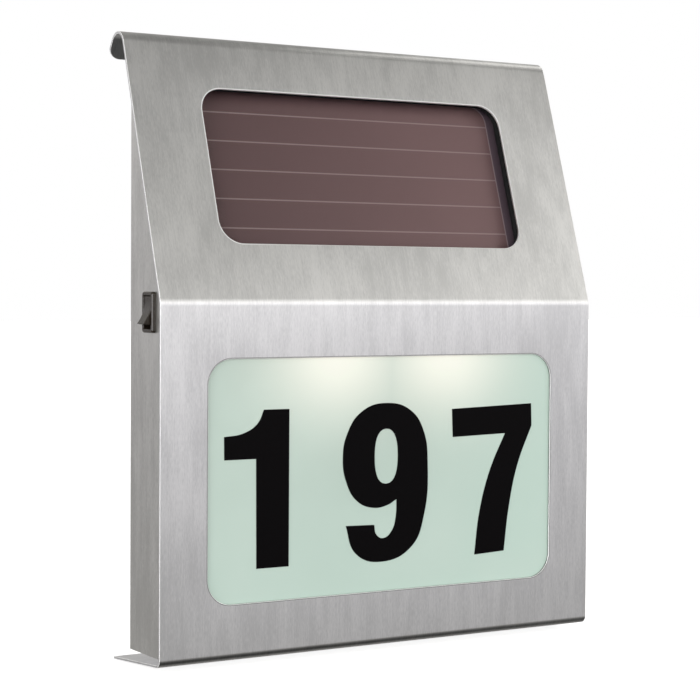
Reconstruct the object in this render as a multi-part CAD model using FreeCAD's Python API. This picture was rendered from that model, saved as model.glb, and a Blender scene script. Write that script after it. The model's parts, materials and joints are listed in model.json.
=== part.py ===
# Illuminated house number sign for a wall.
#
# One bent stainless sheet is the whole front: a flange turned back at the foot, an upright
# face with the lit number window, a crease, a face that leans back with the solar window,
# and a rounded hook along the top.  Two folded cheeks close its sides, and a moulded housing
# behind it holds the light tray, the solar panel, the cells and the electronics.
#
# Millimetres.  The model is drawn with X to the right as seen from the front, Y to the back
# and Z up, from the point where the front face and the flange would meet if the bend were
# sharp.  It is saved with its origin at the seat of the hook, which is the middle of the top
# of the hook's inside, where a wall rail carries the sign.

import FreeCAD
import Part
import math
import os

Vector = FreeCAD.Vector
RIGHT = Vector(1, 0, 0)
BACK = Vector(0, 1, 0)
UP = Vector(0, 0, 1)

PAST = 1.0                   # how far a cut runs past the face that it opens
ROD_SIDES = 12               # flat sides of a small rod or drill
LEAD_SIDES = 6               # flat sides of a lead

# ---- Cover sheet ---------------------------------------------------------------------
SHEET = 1.0                  # thickness of the stainless sheet
COVER_WIDTH = 200.0
CREASE_HEIGHT = 136.0        # upright face, from the foot corner to the crease
SLOPE_ANGLE = 18.35          # lean of the upper face, from upright
SLOPE_LENGTH = 104.6         # upper face, from the crease to the start of the hook's bend
BEND_RADIUS = 3.2            # outer radius of the foot bend and of the crease
HOOK_RADIUS = 6.0            # outer radius of the hook's bend
HOOK_ANGLE = 53.5            # fall of the hook's lip, from level
HOOK_LIP = 8.3               # straight part of the lip
HOOK_CORNER = 5.1            # radius of the lip's free corners
FLANGE_DEPTH = 40.6          # bottom flange, from the foot corner to its rear edge
FLANGE_DROOP = 4.3           # fall of the flange towards the back
FLANGE_HOLE = 4.5            # diameter of the two fixing holes
FLANGE_HOLE_SPACING = 120.0
FLANGE_HOLE_EDGE = 5.0       # hole centre to the flange's rear edge

# ---- Windows in the sheet ------------------------------------------------------------
NUMBER_SIDE = 20.0           # edge of the sheet to the number window
NUMBER_BASE = 21.5           # foot corner to the number window
NUMBER_HEAD = 21.5           # number window to the crease
NUMBER_CORNER = 10.0
SOLAR_SIDE = 29.5            # edge of the sheet to the solar window
SOLAR_BASE = 23.5            # crease to the solar window, along the slope
SOLAR_HEAD = 17.5            # solar window to the start of the hook's bend
SOLAR_CORNER = 9.5

# ---- Side cheeks ---------------------------------------------------------------------
CHEEK_SHEET = 1.0
CHEEK_INSET = 2.0            # edge of the cover to the outside of the cheek
CHEEK_BACK = 30.0            # rear edge of the cheek, from the front face
CHEEK_FOOT = 2.4             # lower edge of the cheek
CHEEK_HEAD = 13.5            # upper edge of the cheek below the centre of the hook's bend
CHEEK_BEND = 1.8             # outer radius of the folded return
RETURN_GAP = 0.3             # edge of the return to the housing's side
RETURN_RELIEF = 1.5          # gap of the returns on each side of the crease
RETURN_FOOT = 0.5            # lower end of the return above the foot bend

# ---- Studs and nuts that hold cheeks and housing -------------------------------------
STUD_DIAMETER = 3.0
STUD_LENGTH = 8.0
STUD_FOOT = 19.0             # lowest pair above the foot corner
STUD_HEAD = 24.0             # highest pair of the upright face below the crease
STUD_SLOPE = 70.0            # the pair on the upper face, from the crease
STUD_CLEARANCE = 0.2         # radial, in returns and lugs
NUT_FLATS = 5.5
NUT_HEIGHT = 2.4
NUT_CLEARANCE = 0.05         # radial, nut on stud

# ---- Number window and light tray ----------------------------------------------------
PANE = 3.0                   # opal acrylic
PANE_LAP = 5.5               # pane beyond the opening, above and below
PANE_CORNER = 3.0
PANE_GASKET = 0.5
GASKET_SETBACK = 1.0         # gasket's inner edge beyond the opening
TRAY_WALL = 1.0
TRAY_DEPTH = 24.5            # inside, from the back of the pane
TRAY_GAP = 0.6               # tray to the housing's ledge
TRAY_HEAD = 2.5              # inside of the tray's upper wall below the pane's edge
TRAY_TAPER = 13.0            # how far the side and lower walls draw in
LED_SPACING = 56.0
LED_DEPTH = 10.0             # LED axis behind the back of the pane
LED_RADIUS = 2.5
LED_COLLAR = 2.9
LED_LENGTH = 9.0
LED_BOARD = 1.6
LED_BOARD_END = 20.0         # board beyond the LED axes
LED_BOARD_FRONT = 6.0        # board in front of the LED axes
LED_BOARD_REAR = 10.0        # board behind them
LED_HOLE_GAP = 0.3           # radial, collar in the tray's hole
LED_TIP = 0.8                # chamfer of the LED's lower end

# ---- Solar panel, measured square to the slope ----------------------------------------
SOLAR_GASKET = 3.5
GASKET_SETBACK_SIDE = 0.4    # gasket's inner edge beyond the opening, left and right
GASKET_SETBACK_END = 1.2     # the same, above and below
GLASS = 2.5
GLASS_LAP = 3.7              # glass beyond the gasket's inner edge, left and right
GLASS_LAP_END = 2.4          # the same, above and below
CELLS = 0.3
CELL_MARGIN = 5.8            # bare edge of the glass, left and right
CELL_MARGIN_END = 3.3        # the same, above and below
TAB_LENGTH = 8.0
TAB_WIDTH = 4.0
TAB = 0.3
TAB_SPACING = 16.0
TAB_MARGIN = 2.7             # right tab to the seat's opening
GLASS_CORNER = 1.0

# ---- Housing --------------------------------------------------------------------------
WALL = 2.0
CHEEK_GAP = 9.0              # housing to the cheek's inner face
HOUSING_GAP = 0.5            # housing to the pane's edge
RIM_SEAL = 1.0
REAR_GAP = 0.2               # rear rim behind the upper end of the solar seat
HOUSING_HEAD = 7.4           # housing's top below the centre of the hook's bend
PARTITION_GAP = 2.0          # partition above the pane's edge
SEAT_WALL = 1.5              # slanted wall that carries the solar glass
SEAT_RIM = 7.0               # width of that wall inside the glass edge
SEAT_GAP = 0.1               # cells to the seat
LOCATING_RIB = 1.5
LOCATING_GAP = 0.3
LOCATING_HEIGHT = 2.0
LOCATING_CORNER = 2.0
LEDGE = 1.4                  # ledge that carries the tray's flange
LEDGE_DEPTH = 2.0
LUG = 2.5                    # thickness of the fixing lugs
LUG_HALF = 5.0
LUG_GAP = 1.0                # lug to the cheek's inner face
BOSS_RADIUS = 3.2
BOSS_LENGTH = 11.0
BOSS_WALL = 2.8              # boss axis to the inner face of the wall
BOSS_HEAD = 14.0             # upper boss axes below the inner face of the top wall
POST_RADIUS = 2.0
POST_GAP = 0.1
WIRE_HOLE = 2.0
TERMINAL_WINDOW = 1.8        # clearance round the switch's blades

# ---- Rear cover and its screws ---------------------------------------------------------
REAR_SEAL = 0.8
REAR_SEAL_WIDTH = 1.6
REAR_COVER = 2.0
REAR_CORNER = 4.0
REAR_CHAMFER = 0.8
SCREW_RADIUS = 1.45
SCREW_HEAD = 2.75            # radius
SCREW_HEAD_HEIGHT = 1.8
SCREW_REACH = 8.0            # into the boss
SCREW_CLEARANCE = 0.1        # radial
PILOT_CLEARANCE = 0.02       # radial, screw in its pilot hole
SCREW_SHORT = 1.0            # screw's tip to the end of its boss
COUNTERBORE = 0.8
COUNTERBORE_GAP = 0.3
RIB = 1.5
RIB_DEPTH = 4.0
RIB_COUNT = 3
RIB_END = 14.0               # rib's end to the housing's side wall

# ---- Cells, tray and lid ---------------------------------------------------------------
CELL_RADIUS = 7.15
CELL_LENGTH = 50.2
CELL_PITCH = 15.0
CELL_GAP = 0.4
CELL_BUTTON = 2.75
CELL_BUTTON_HEIGHT = 1.2
CONTACT = 0.5
CONTACT_REACH = 3.0
CONTACT_RADIUS = 2.4
CONTACT_HALF = 5.0           # half of a contact's square plate
BATTERY_WALL = 1.2
TRAY_RIB_HALF = 12.5         # half length of the rib between the cells
TRAY_RIB_HEIGHT = 3.6
BATTERY_ROOM = 5.75          # tray above the partition
LID = 2.0
LID_SEAL = 0.8
LID_SEAL_WIDTH = 2.8
LID_SEAL_GAP = 0.2           # seal to the opening
LID_SEAL_CORNER = 2.0
LID_EAR = 14.0               # lid beyond the opening, left and right
LID_LAP = 4.0                # lid beyond the opening, above and below
LID_CORNER = 4.0
LID_CHAMFER = 0.8
LID_SPIGOT = 1.2
LID_SPIGOT_GAP = 0.4
LID_SPIGOT_REACH = 1.5
LID_SCREW = 9.6              # screw axis beyond the opening

# ---- Control board ----------------------------------------------------------------------
BOARD = 1.6
BOARD_GAP = 6.2              # board beside the lid's screw boss
BOARD_SIDE = 5.0             # board to the housing's side wall
BOARD_HEIGHT = 38.0
BOARD_STANDOFF = 3.0
BOARD_SCREW = 1.1
BOARD_SCREW_HEAD = 2.0       # radius
BOARD_SCREW_HEAD_HEIGHT = 1.6
BOARD_SCREW_CLEARANCE = 0.05
BOARD_SCREW_MARGIN = 3.6
STANDOFF_RADIUS = 2.4
PLUG = 5.0
PLUG_DEPTH = 8.0
PLUG_PITCH = 8.0
PLUG_EDGE = 1.0              # plugs to the board's left edge
PLUG_DROP = 14.0             # first plug below the board's middle
CHIP = 8.0
CHIP_HEIGHT = 2.0
CHIP_DROP = 1.6              # chip below the board's middle
COIL_RADIUS = 4.0
COIL_HEIGHT = 5.0
COIL_RISE = 9.6              # coil above the board's middle
CAN_RADIUS = 3.2
CAN_HEIGHT = 9.0
CAN_SIDE = 6.4               # capacitor to the right of the coil

# ---- Rocker switch on the left cheek -----------------------------------------------------
SWITCH_DROP = 4.0            # middle of the switch below the crease
SWITCH_DEPTH = 12.5          # middle of the switch, from the front face
BEZEL_HEIGHT = 15.4
BEZEL_WIDTH = 9.0
BEZEL = 1.6
BEZEL_CHAMFER = 0.5
NECK_HEIGHT = 13.4
NECK_WIDTH = 7.6
NECK_CLEARANCE = 0.1
SWITCH_BODY = 9.8
ROCKER_WELL_HEIGHT = 12.4
ROCKER_WELL_WIDTH = 6.3
ROCKER_WELL = 4.6            # depth below the cheek's outer face
ROCKER_GAP = 0.15
ROCKER_TIP = 5.4             # tip from the pivot, along the paddle
ROCKER_RISE = 3.2            # tip above the pivot
ROCKER_DISH = 1.2
ROCKER_HEEL = 4.9
ROCKER_DROP = 1.8
ROCKER_BELLY = 2.6
ROCKER_THROW = 16.0          # lean from the middle at each end of the throw
PIVOT_SINK = 0.2             # pivot below the cheek's outer face
PIVOT_RADIUS = 1.0
PIVOT_CLEARANCE = 0.05
PIVOT_LENGTH = 0.5
BLADE = 0.5
BLADE_WIDTH = 2.0
BLADE_LENGTH = 5.0
BLADE_SPREAD = 3.2
BARB = 0.5
BARB_LENGTH = 3.4
BARB_WIDTH = 3.8
BARB_SINK = 0.2              # barb's root inside the neck

# ---- Wires -------------------------------------------------------------------------------
WIRE_RADIUS = 0.9
WIRE_OFFSET = 5.9            # wires' axis in front of the board
WIRE_TURN = 10.0             # last turn of a wire before its plug
WIRE_STUB = 6.0              # straight start of a wire
WIRE_ABOVE = 6.0             # switch wire above the battery tray
BEND_SHARE = 0.45            # share of the shorter run that a bend takes

# ---- Sizes that follow from the ones above ----------------------------------------------
LEAN = math.radians(SLOPE_ANGLE)
COVER_HALF = COVER_WIDTH / 2
HOOK_Y = SLOPE_LENGTH * math.sin(LEAN) + HOOK_RADIUS * math.cos(LEAN)
HOOK_Z = CREASE_HEIGHT + SLOPE_LENGTH * math.cos(LEAN) - HOOK_RADIUS * math.sin(LEAN)
CHEEK_OUT = COVER_HALF - CHEEK_INSET
CHEEK_IN = CHEEK_OUT - CHEEK_SHEET
CHEEK_TOP = HOOK_Z - CHEEK_HEAD
LUG_SEAT = SHEET + CHEEK_SHEET
HOUSING_OUT = CHEEK_IN - CHEEK_GAP
HOUSING_IN = HOUSING_OUT - WALL
STUD_SIDE = (CHEEK_IN + HOUSING_OUT) / 2
STUD_HIGH = CREASE_HEIGHT - STUD_HEAD
STUD_HEIGHTS = (STUD_FOOT, (STUD_FOOT + STUD_HIGH) / 2, STUD_HIGH)
NUMBER_HALF = COVER_HALF - NUMBER_SIDE
NUMBER_TOP = CREASE_HEIGHT - NUMBER_HEAD
SOLAR_HALF = COVER_HALF - SOLAR_SIDE
SOLAR_TOP = SLOPE_LENGTH - SOLAR_HEAD
PANE_FRONT = SHEET + PANE_GASKET
PANE_BACK = PANE_FRONT + PANE
PANE_HALF = HOUSING_IN - HOUSING_GAP
PANE_BOTTOM = NUMBER_BASE - PANE_LAP
PANE_TOP = NUMBER_TOP + PANE_LAP
HOUSING_FLOOR = PANE_BOTTOM - HOUSING_GAP
HOUSING_FOOT = HOUSING_FLOOR - WALL
HOUSING_FRONT = SHEET + RIM_SEAL
HOUSING_TOP = HOOK_Z - HOUSING_HEAD
PARTITION = PANE_TOP + PARTITION_GAP
TRAY_HALF = HOUSING_IN - LEDGE - TRAY_GAP - TRAY_WALL
TRAY_LOW = HOUSING_FLOOR + LEDGE + TRAY_GAP + TRAY_WALL
TRAY_HIGH = PANE_TOP - TRAY_HEAD
LED_Y = PANE_BACK + LED_DEPTH
LED_SEAT = TRAY_HIGH + TRAY_WALL + POST_GAP
GLASS_FRONT = SHEET + SOLAR_GASKET
GLASS_BACK = GLASS_FRONT + GLASS
SOLAR_SEAT = GLASS_BACK + CELLS + SEAT_GAP
GASKET_HALF = SOLAR_HALF + GASKET_SETBACK_SIDE
GASKET_LOW = SOLAR_BASE - GASKET_SETBACK_END
GASKET_HIGH = SOLAR_TOP + GASKET_SETBACK_END
GLASS_HALF = GASKET_HALF + GLASS_LAP
GLASS_LOW = GASKET_LOW - GLASS_LAP_END
GLASS_HIGH = GASKET_HIGH + GLASS_LAP_END
HOUSING_BACK = (SOLAR_SEAT + SEAT_WALL) * math.cos(LEAN) + GLASS_HIGH * math.sin(LEAN) + REAR_GAP
COVER_FACE = HOUSING_BACK + REAR_SEAL
REAR_FACE = COVER_FACE + REAR_COVER
BAY_HALF = CELL_LENGTH / 2 + CONTACT_REACH + CONTACT + CELL_GAP
BAY_BOTTOM = PARTITION + WALL + BATTERY_ROOM + BATTERY_WALL
BATTERY_HEIGHT = BAY_BOTTOM + CELL_GAP + CELL_RADIUS + CELL_PITCH / 2
BAY_TOP = 2 * BATTERY_HEIGHT - BAY_BOTTOM
CELL_Y = COVER_FACE - CELL_RADIUS - CELL_GAP
BAY_FLOOR = CELL_Y - CELL_RADIUS - CELL_GAP / 2
LID_FACE = REAR_FACE + LID_SEAL
LID_OUT = LID_FACE + LID
BOARD_LEFT = BAY_HALF + LID_SCREW + BOSS_RADIUS + BOARD_GAP
BOARD_RIGHT = HOUSING_IN - BOARD_SIDE
BOARD_BACK = COVER_FACE - BOARD_STANDOFF
BOARD_FRONT = BOARD_BACK - BOARD
BOARD_LOW = BATTERY_HEIGHT - BOARD_HEIGHT / 2
WIRE_Y = BOARD_FRONT - WIRE_OFFSET
SWITCH_HEIGHT = CREASE_HEIGHT - SWITCH_DROP
PIVOT_X = -CHEEK_OUT + PIVOT_SINK


# ---- Helpers -------------------------------------------------------------------------------
def slab(x0, x1, y0, y1, z0, z1):
    return Part.makeBox(x1 - x0, y1 - y0, z1 - z0, Vector(x0, y0, z0))


def rod(start, direction, radius, length):
    return Part.makeCylinder(radius, length, start, direction)


def polygon(centre, direction, radius, sides):
    """A regular outline square to a direction."""
    across = direction.cross(UP if abs(direction.z) < 0.5 else RIGHT).normalize()
    second = direction.cross(across).normalize()
    turns = [2 * math.pi * step / sides for step in range(sides)]
    corners = [centre + (across * math.cos(turn) + second * math.sin(turn)) * radius for turn in turns]
    return Part.makePolygon(corners + corners[:1])


def small_rod(start, direction, radius, length):
    """A rod or drill with flat sides, which keeps a piece that repeats light."""
    return Part.Face(polygon(start, direction, radius, ROD_SIDES)).extrude(direction * length)


def rounded_slab(x0, x1, y0, y1, z0, z1, radius):
    """A plate whose four corners, seen from the front, are rounded."""
    plate = slab(x0, x1, y0, y1, z0, z1)
    corners = [edge for edge in plate.Edges if abs(edge.tangentAt(edge.FirstParameter).y) > 0.99]
    return plate.makeFillet(radius, corners)


def ring(half, low, high, y0, y1, width, radius):
    """A flat frame: an outer edge and an opening that is smaller by the width all round."""
    outer = rounded_slab(-half, half, y0, y1, low, high, radius)
    opening = slab(-half + width, half - width, y0 - PAST, y1 + PAST, low + width, high - width)
    return outer.cut(opening)


def filleted_path(points, radii):
    """Straight runs through the points, with a tangent arc of its radius at each inner one."""
    edges = []
    start = points[0]
    for corner, following, radius in zip(points[1:-1], points[2:], radii):
        heading = (corner - start).normalize()
        leaving = (following - corner).normalize()
        half_turn = heading.getAngle(leaving) / 2
        run = radius * math.tan(half_turn)
        inward = (leaving - heading).normalize()
        arc_start = corner - heading * run
        arc_end = corner + leaving * run
        arc_middle = corner + inward * (radius / math.cos(half_turn) - radius)
        edges.append(Part.makeLine(start, arc_start))
        edges.append(Part.Arc(arc_start, arc_middle, arc_end).toShape())
        start = arc_end
    edges.append(Part.makeLine(start, points[-1]))
    return edges


def inner_path(points, thickness, across):
    """The same path on the other face of the sheet, to the right of the direction of travel."""
    headings = [(b - a).normalize() for a, b in zip(points, points[1:])]
    normals = [heading.cross(across) for heading in headings]
    moved = [points[0] + normals[0] * thickness]
    for point, before, after in zip(points[1:-1], normals, normals[1:]):
        moved.append(point + (before + after) * (thickness / (1 + before.dot(after))))
    moved.append(points[-1] + normals[-1] * thickness)
    return moved


def bent_section(points, radii, thickness, across):
    """Cross-section of a folded sheet, from the sharp corners of its outer face."""
    inside = inner_path(points, thickness, across)
    outer_edges = filleted_path(points, radii)
    inner_edges = filleted_path(inside, [radius - thickness for radius in radii])
    caps = [Part.makeLine(points[0], inside[0]), Part.makeLine(points[-1], inside[-1])]
    wire = Part.Wire(Part.__sortEdges__(outer_edges + inner_edges + caps))
    return Part.Face(wire)


def side_prism(profile, x0, x1):
    """A prism across the sign from a side profile of (depth, height) points."""
    corners = [Vector(x0, y, z) for y, z in profile]
    face = Part.Face(Part.makePolygon(corners + corners[:1]))
    return face.extrude(Vector(x1 - x0, 0, 0))


def plan_prism(plan, z0, z1):
    """An upright prism from a plan of (x, depth) points."""
    corners = [Vector(x, y, z0) for x, y in plan]
    face = Part.Face(Part.makePolygon(corners + corners[:1]))
    return face.extrude(Vector(0, 0, z1 - z0))


def on_slope(shape):
    """Carries a shape drawn as if the upper face stood upright onto that face."""
    moved = shape.copy()
    moved.rotate(Vector(0, 0, 0), RIGHT, -SLOPE_ANGLE)
    moved.translate(Vector(0, 0, CREASE_HEIGHT))
    return moved


def slope_point(x, depth, along):
    """A point of the upper face's own frame, in the sign's frame."""
    y = depth * math.cos(LEAN) + along * math.sin(LEAN)
    z = CREASE_HEIGHT - depth * math.sin(LEAN) + along * math.cos(LEAN)
    return Vector(x, y, z)


def profile_behind(depth, bottom, top, back):
    """Side profile that keeps one distance behind the front, up to a level top."""
    crease = (depth, CREASE_HEIGHT - depth * math.tan(LEAN / 2))
    shoulder = (depth / math.cos(LEAN) + (top - CREASE_HEIGHT) * math.tan(LEAN), top)
    return [(depth, bottom), crease, shoulder, (back, top), (back, bottom)]


def both_sides(shape):
    return [shape, shape.mirror(Vector(0, 0, 0), RIGHT)]


def fused(first, others):
    return first.fuse(others).removeSplitter()


# ---- Cover ---------------------------------------------------------------------------------
def hook_corner_run():
    """Sharp corner of the hook's bend to the bend's ends."""
    turn = math.radians(90 - SLOPE_ANGLE + HOOK_ANGLE)
    return HOOK_RADIUS * math.tan(turn / 2)


def cover_path():
    droop = math.radians(FLANGE_DROOP)
    fall = math.radians(HOOK_ANGLE)
    rear = Vector(0, FLANGE_DEPTH * math.cos(droop), -FLANGE_DEPTH * math.sin(droop))
    crease = Vector(0, 0, CREASE_HEIGHT)
    hook = slope_point(0, 0, SLOPE_LENGTH + hook_corner_run())
    lip = Vector(0, math.cos(fall), -math.sin(fall)) * (hook_corner_run() + HOOK_LIP)
    return [rear, Vector(0, 0, 0), crease, hook, hook + lip]


def hook_seat():
    """Top of the hook's inside, in the middle of the sign."""
    return Vector(0, HOOK_Y, HOOK_Z + HOOK_RADIUS - SHEET)


def flange_hole_place():
    droop = math.radians(FLANGE_DROOP)
    reach = FLANGE_DEPTH - FLANGE_HOLE_EDGE
    return reach * math.cos(droop), -reach * math.sin(droop)


def is_lip_corner(edge, lip_end):
    """True for the short edges across the sheet at the two ends of the lip's free edge."""
    middle = edge.CenterOfMass
    return (abs(edge.Length - SHEET) < 0.01
            and abs(abs(middle.x) - COVER_HALF) < 0.01
            and (Vector(0, middle.y, middle.z) - lip_end).Length < SHEET)


def front_cover():
    path = cover_path()
    radii = [BEND_RADIUS, BEND_RADIUS, HOOK_RADIUS]
    section = bent_section(path, radii, SHEET, RIGHT)
    section.translate(RIGHT * -COVER_HALF)
    sheet = section.extrude(RIGHT * COVER_WIDTH)
    corners = [edge for edge in sheet.Edges if is_lip_corner(edge, path[-1])]
    sheet = sheet.makeFillet(HOOK_CORNER, corners)
    number = rounded_slab(-NUMBER_HALF, NUMBER_HALF, -SHEET, 2 * SHEET,
                          NUMBER_BASE, NUMBER_TOP, NUMBER_CORNER)
    solar = rounded_slab(-SOLAR_HALF, SOLAR_HALF, -SHEET, 2 * SHEET,
                         SOLAR_BASE, SOLAR_TOP, SOLAR_CORNER)
    y, z = flange_hole_place()
    hole = rod(Vector(FLANGE_HOLE_SPACING / 2, y, z - 2 * SHEET), UP, FLANGE_HOLE / 2, 5 * SHEET)
    return sheet.cut([number, on_slope(solar)] + both_sides(hole))


def on_each_stud(shape):
    """Copies of a shape, drawn round a stud axis at X = 0, Z = 0, at every stud."""
    placed = []
    for height in STUD_HEIGHTS:
        copy = shape.copy()
        copy.translate(Vector(STUD_SIDE, 0, height))
        placed += both_sides(copy)
    copy = shape.copy()
    copy.translate(Vector(STUD_SIDE, 0, STUD_SLOPE))
    placed += both_sides(on_slope(copy))
    return placed


def cover_studs():
    return on_each_stud(small_rod(Vector(0, SHEET, 0), BACK, STUD_DIAMETER / 2, STUD_LENGTH))


def stud_nuts():
    seat = Vector(0, LUG_SEAT + LUG, 0)
    nut = Part.Face(polygon(seat, BACK, NUT_FLATS / math.sqrt(3), 6)).extrude(BACK * NUT_HEIGHT)
    bore = small_rod(seat, BACK, STUD_DIAMETER / 2 + NUT_CLEARANCE, NUT_HEIGHT)
    return on_each_stud(nut.cut(bore))


# ---- Cheeks --------------------------------------------------------------------------------
def stud_holes(reach):
    """Drills for every stud, from the back of the cover."""
    drill = small_rod(Vector(0, SHEET / 2, 0), BACK, STUD_DIAMETER / 2 + STUD_CLEARANCE, reach)
    return on_each_stud(drill)


def right_cheek():
    overlap = CHEEK_BEND
    tail = SHEET + CHEEK_BEND + overlap
    edge = HOUSING_OUT + RETURN_GAP
    path = [Vector(CHEEK_OUT, tail, 0), Vector(CHEEK_OUT, SHEET, 0), Vector(edge, SHEET, 0)]
    section = bent_section(path, [CHEEK_BEND], CHEEK_SHEET, UP)
    foot = BEND_RADIUS + RETURN_FOOT
    upright = section.copy()
    upright.translate(UP * foot)
    upright = upright.extrude(UP * (CREASE_HEIGHT - RETURN_RELIEF - foot))
    slanted = section.copy()
    slanted.translate(UP * RETURN_RELIEF)
    slanted = on_slope(slanted.extrude(UP * SLOPE_LENGTH))
    profile = profile_behind(SHEET + CHEEK_BEND, CHEEK_FOOT, CHEEK_TOP, 2 * CHEEK_BACK)
    wall = side_prism(profile, CHEEK_IN, CHEEK_OUT)
    cheek = fused(wall, [upright, slanted]).cut(stud_holes(SHEET + 2 * CHEEK_SHEET))
    return cheek.common(slab(0, COVER_HALF, 0, CHEEK_BACK, 0, CHEEK_TOP))


def left_cheek():
    cheek = right_cheek().mirror(Vector(0, 0, 0), RIGHT)
    half_width = NECK_WIDTH / 2 + NECK_CLEARANCE
    half_height = NECK_HEIGHT / 2 + NECK_CLEARANCE
    opening = slab(-CHEEK_OUT - PAST, -CHEEK_IN + PAST,
                   SWITCH_DEPTH - half_width, SWITCH_DEPTH + half_width,
                   SWITCH_HEIGHT - half_height, SWITCH_HEIGHT + half_height)
    return cheek.cut(opening)


# ---- Number window and light tray ----------------------------------------------------------
def number_window():
    return rounded_slab(-PANE_HALF, PANE_HALF, PANE_FRONT, PANE_BACK, PANE_BOTTOM, PANE_TOP, PANE_CORNER)


def window_gasket():
    frame = rounded_slab(-PANE_HALF, PANE_HALF, SHEET, PANE_FRONT, PANE_BOTTOM, PANE_TOP, PANE_CORNER)
    half = NUMBER_HALF + GASKET_SETBACK
    opening = rounded_slab(-half, half, 0, PANE_BACK, NUMBER_BASE - GASKET_SETBACK,
                           NUMBER_TOP + GASKET_SETBACK, NUMBER_CORNER)
    return frame.cut(opening)


def tray_form(grow):
    """The tapered space of the light tray; it grows into the tray's outside."""
    half = TRAY_HALF + grow
    low = TRAY_LOW - grow
    high = TRAY_HIGH + grow
    rear = PANE_BACK + TRAY_DEPTH + grow
    floor_half = half - TRAY_TAPER
    profile = [(PANE_BACK, low), (PANE_BACK, high), (rear, high), (rear, low + TRAY_TAPER)]
    plan = [(-half, PANE_BACK), (half, PANE_BACK), (floor_half, rear), (-floor_half, rear)]
    return side_prism(profile, -half, half).common(plan_prism(plan, low, high))


def led_places():
    return [Vector(side * LED_SPACING / 2, LED_Y, LED_SEAT) for side in (-1, 1)]


def reflector():
    flange = rounded_slab(-PANE_HALF, PANE_HALF, PANE_BACK, PANE_BACK + TRAY_WALL,
                          PANE_BOTTOM, PANE_TOP, PANE_CORNER)
    shell = fused(flange, [tray_form(TRAY_WALL)]).cut(tray_form(0))
    reach = 2 * TRAY_WALL
    holes = [small_rod(place - UP * reach, UP, LED_COLLAR + LED_HOLE_GAP, 2 * reach) for place in led_places()]
    return shell.cut(holes)


def led_board():
    half = LED_SPACING / 2 + LED_BOARD_END
    return slab(-half, half, LED_Y - LED_BOARD_FRONT, LED_Y + LED_BOARD_REAR,
                LED_SEAT, LED_SEAT + LED_BOARD)


def leds():
    lamps = []
    for place in led_places():
        tip = place - UP * LED_LENGTH
        collar = small_rod(place - UP * TRAY_WALL, UP, LED_COLLAR, TRAY_WALL)
        stem = small_rod(tip, UP, LED_RADIUS, LED_LENGTH)
        rim = [edge for edge in stem.Edges if abs(edge.CenterOfMass.z - tip.z) < 0.01]
        lamps.append(fused(collar, [stem.makeChamfer(LED_TIP, rim)]))
    return lamps


# ---- Solar panel ---------------------------------------------------------------------------
def solar_gasket():
    outer = rounded_slab(-GLASS_HALF, GLASS_HALF, SHEET, GLASS_FRONT,
                         GLASS_LOW, GLASS_HIGH, GLASS_CORNER)
    opening = rounded_slab(-GASKET_HALF, GASKET_HALF, 0, GLASS_BACK,
                           GASKET_LOW, GASKET_HIGH, SOLAR_CORNER)
    return on_slope(outer.cut(opening))


def solar_glass():
    return on_slope(rounded_slab(-GLASS_HALF, GLASS_HALF, GLASS_FRONT, GLASS_BACK,
                                 GLASS_LOW, GLASS_HIGH, GLASS_CORNER))


def solar_cells():
    half = GLASS_HALF - CELL_MARGIN
    layer = slab(-half, half, GLASS_BACK, GLASS_BACK + CELLS,
                 GLASS_LOW + CELL_MARGIN_END, GLASS_HIGH - CELL_MARGIN_END)
    return on_slope(layer)


def tab_places():
    """Both tabs lie in the right part of the seat's opening, half way up the glass."""
    right = GLASS_HALF - SEAT_RIM - TAB_MARGIN - TAB_LENGTH / 2
    return [(x, (GLASS_LOW + GLASS_HIGH) / 2) for x in (right - TAB_SPACING, right)]


def solar_tabs():
    y0 = GLASS_BACK + CELLS
    tabs = [slab(x - TAB_LENGTH / 2, x + TAB_LENGTH / 2, y0, y0 + TAB, s - TAB_WIDTH / 2, s + TAB_WIDTH / 2)
            for x, s in tab_places()]
    return [on_slope(tab) for tab in tabs]


# ---- Housing -------------------------------------------------------------------------------
def housing_walls():
    inside = profile_behind(0, HOUSING_FLOOR, HOUSING_TOP - WALL, HOUSING_BACK + WALL)
    return housing_volume(HOUSING_FOOT).cut(side_prism(inside, -HOUSING_IN, HOUSING_IN))


def housing_volume(bottom):
    """Everything inside the housing's outer faces, above one height."""
    outside = profile_behind(HOUSING_FRONT, bottom, HOUSING_TOP, HOUSING_BACK)
    return side_prism(outside, -HOUSING_OUT, HOUSING_OUT)


def partition():
    return slab(-HOUSING_IN, HOUSING_IN, HOUSING_FRONT, HOUSING_BACK, PARTITION, PARTITION + WALL)


def solar_seat():
    """Slanted wall behind the solar glass, with ribs that keep the glass in place."""
    reach = CREASE_HEIGHT
    wall = slab(-HOUSING_IN, HOUSING_IN, SOLAR_SEAT, SOLAR_SEAT + SEAT_WALL, -reach, reach)
    opening = slab(-GLASS_HALF + SEAT_RIM, GLASS_HALF - SEAT_RIM, 0, 2 * SOLAR_SEAT,
                   GLASS_LOW + SEAT_RIM, GLASS_HIGH - SEAT_RIM)
    inset = LOCATING_GAP + LOCATING_RIB
    ribs = ring(GLASS_HALF + inset, GLASS_LOW - inset, GLASS_HIGH + inset,
                SOLAR_SEAT - LOCATING_HEIGHT, SOLAR_SEAT, LOCATING_RIB, LOCATING_CORNER)
    seat = fused(wall.cut(opening), [ribs])
    return on_slope(seat).common(housing_volume(PARTITION))


def lug():
    """One fixing lug, drawn round its stud."""
    inner = HOUSING_IN + WALL / 2 - STUD_SIDE
    outer = CHEEK_IN - LUG_GAP - STUD_SIDE
    return slab(inner, outer, LUG_SEAT, LUG_SEAT + LUG, -LUG_HALF, LUG_HALF)


def boss_places():
    side = HOUSING_IN - BOSS_WALL
    heights = (HOUSING_FLOOR + BOSS_WALL, PARTITION - BOSS_WALL, HOUSING_TOP - WALL - BOSS_HEAD)
    return [(sign * side, height) for height in heights for sign in (-1, 1)]


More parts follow.
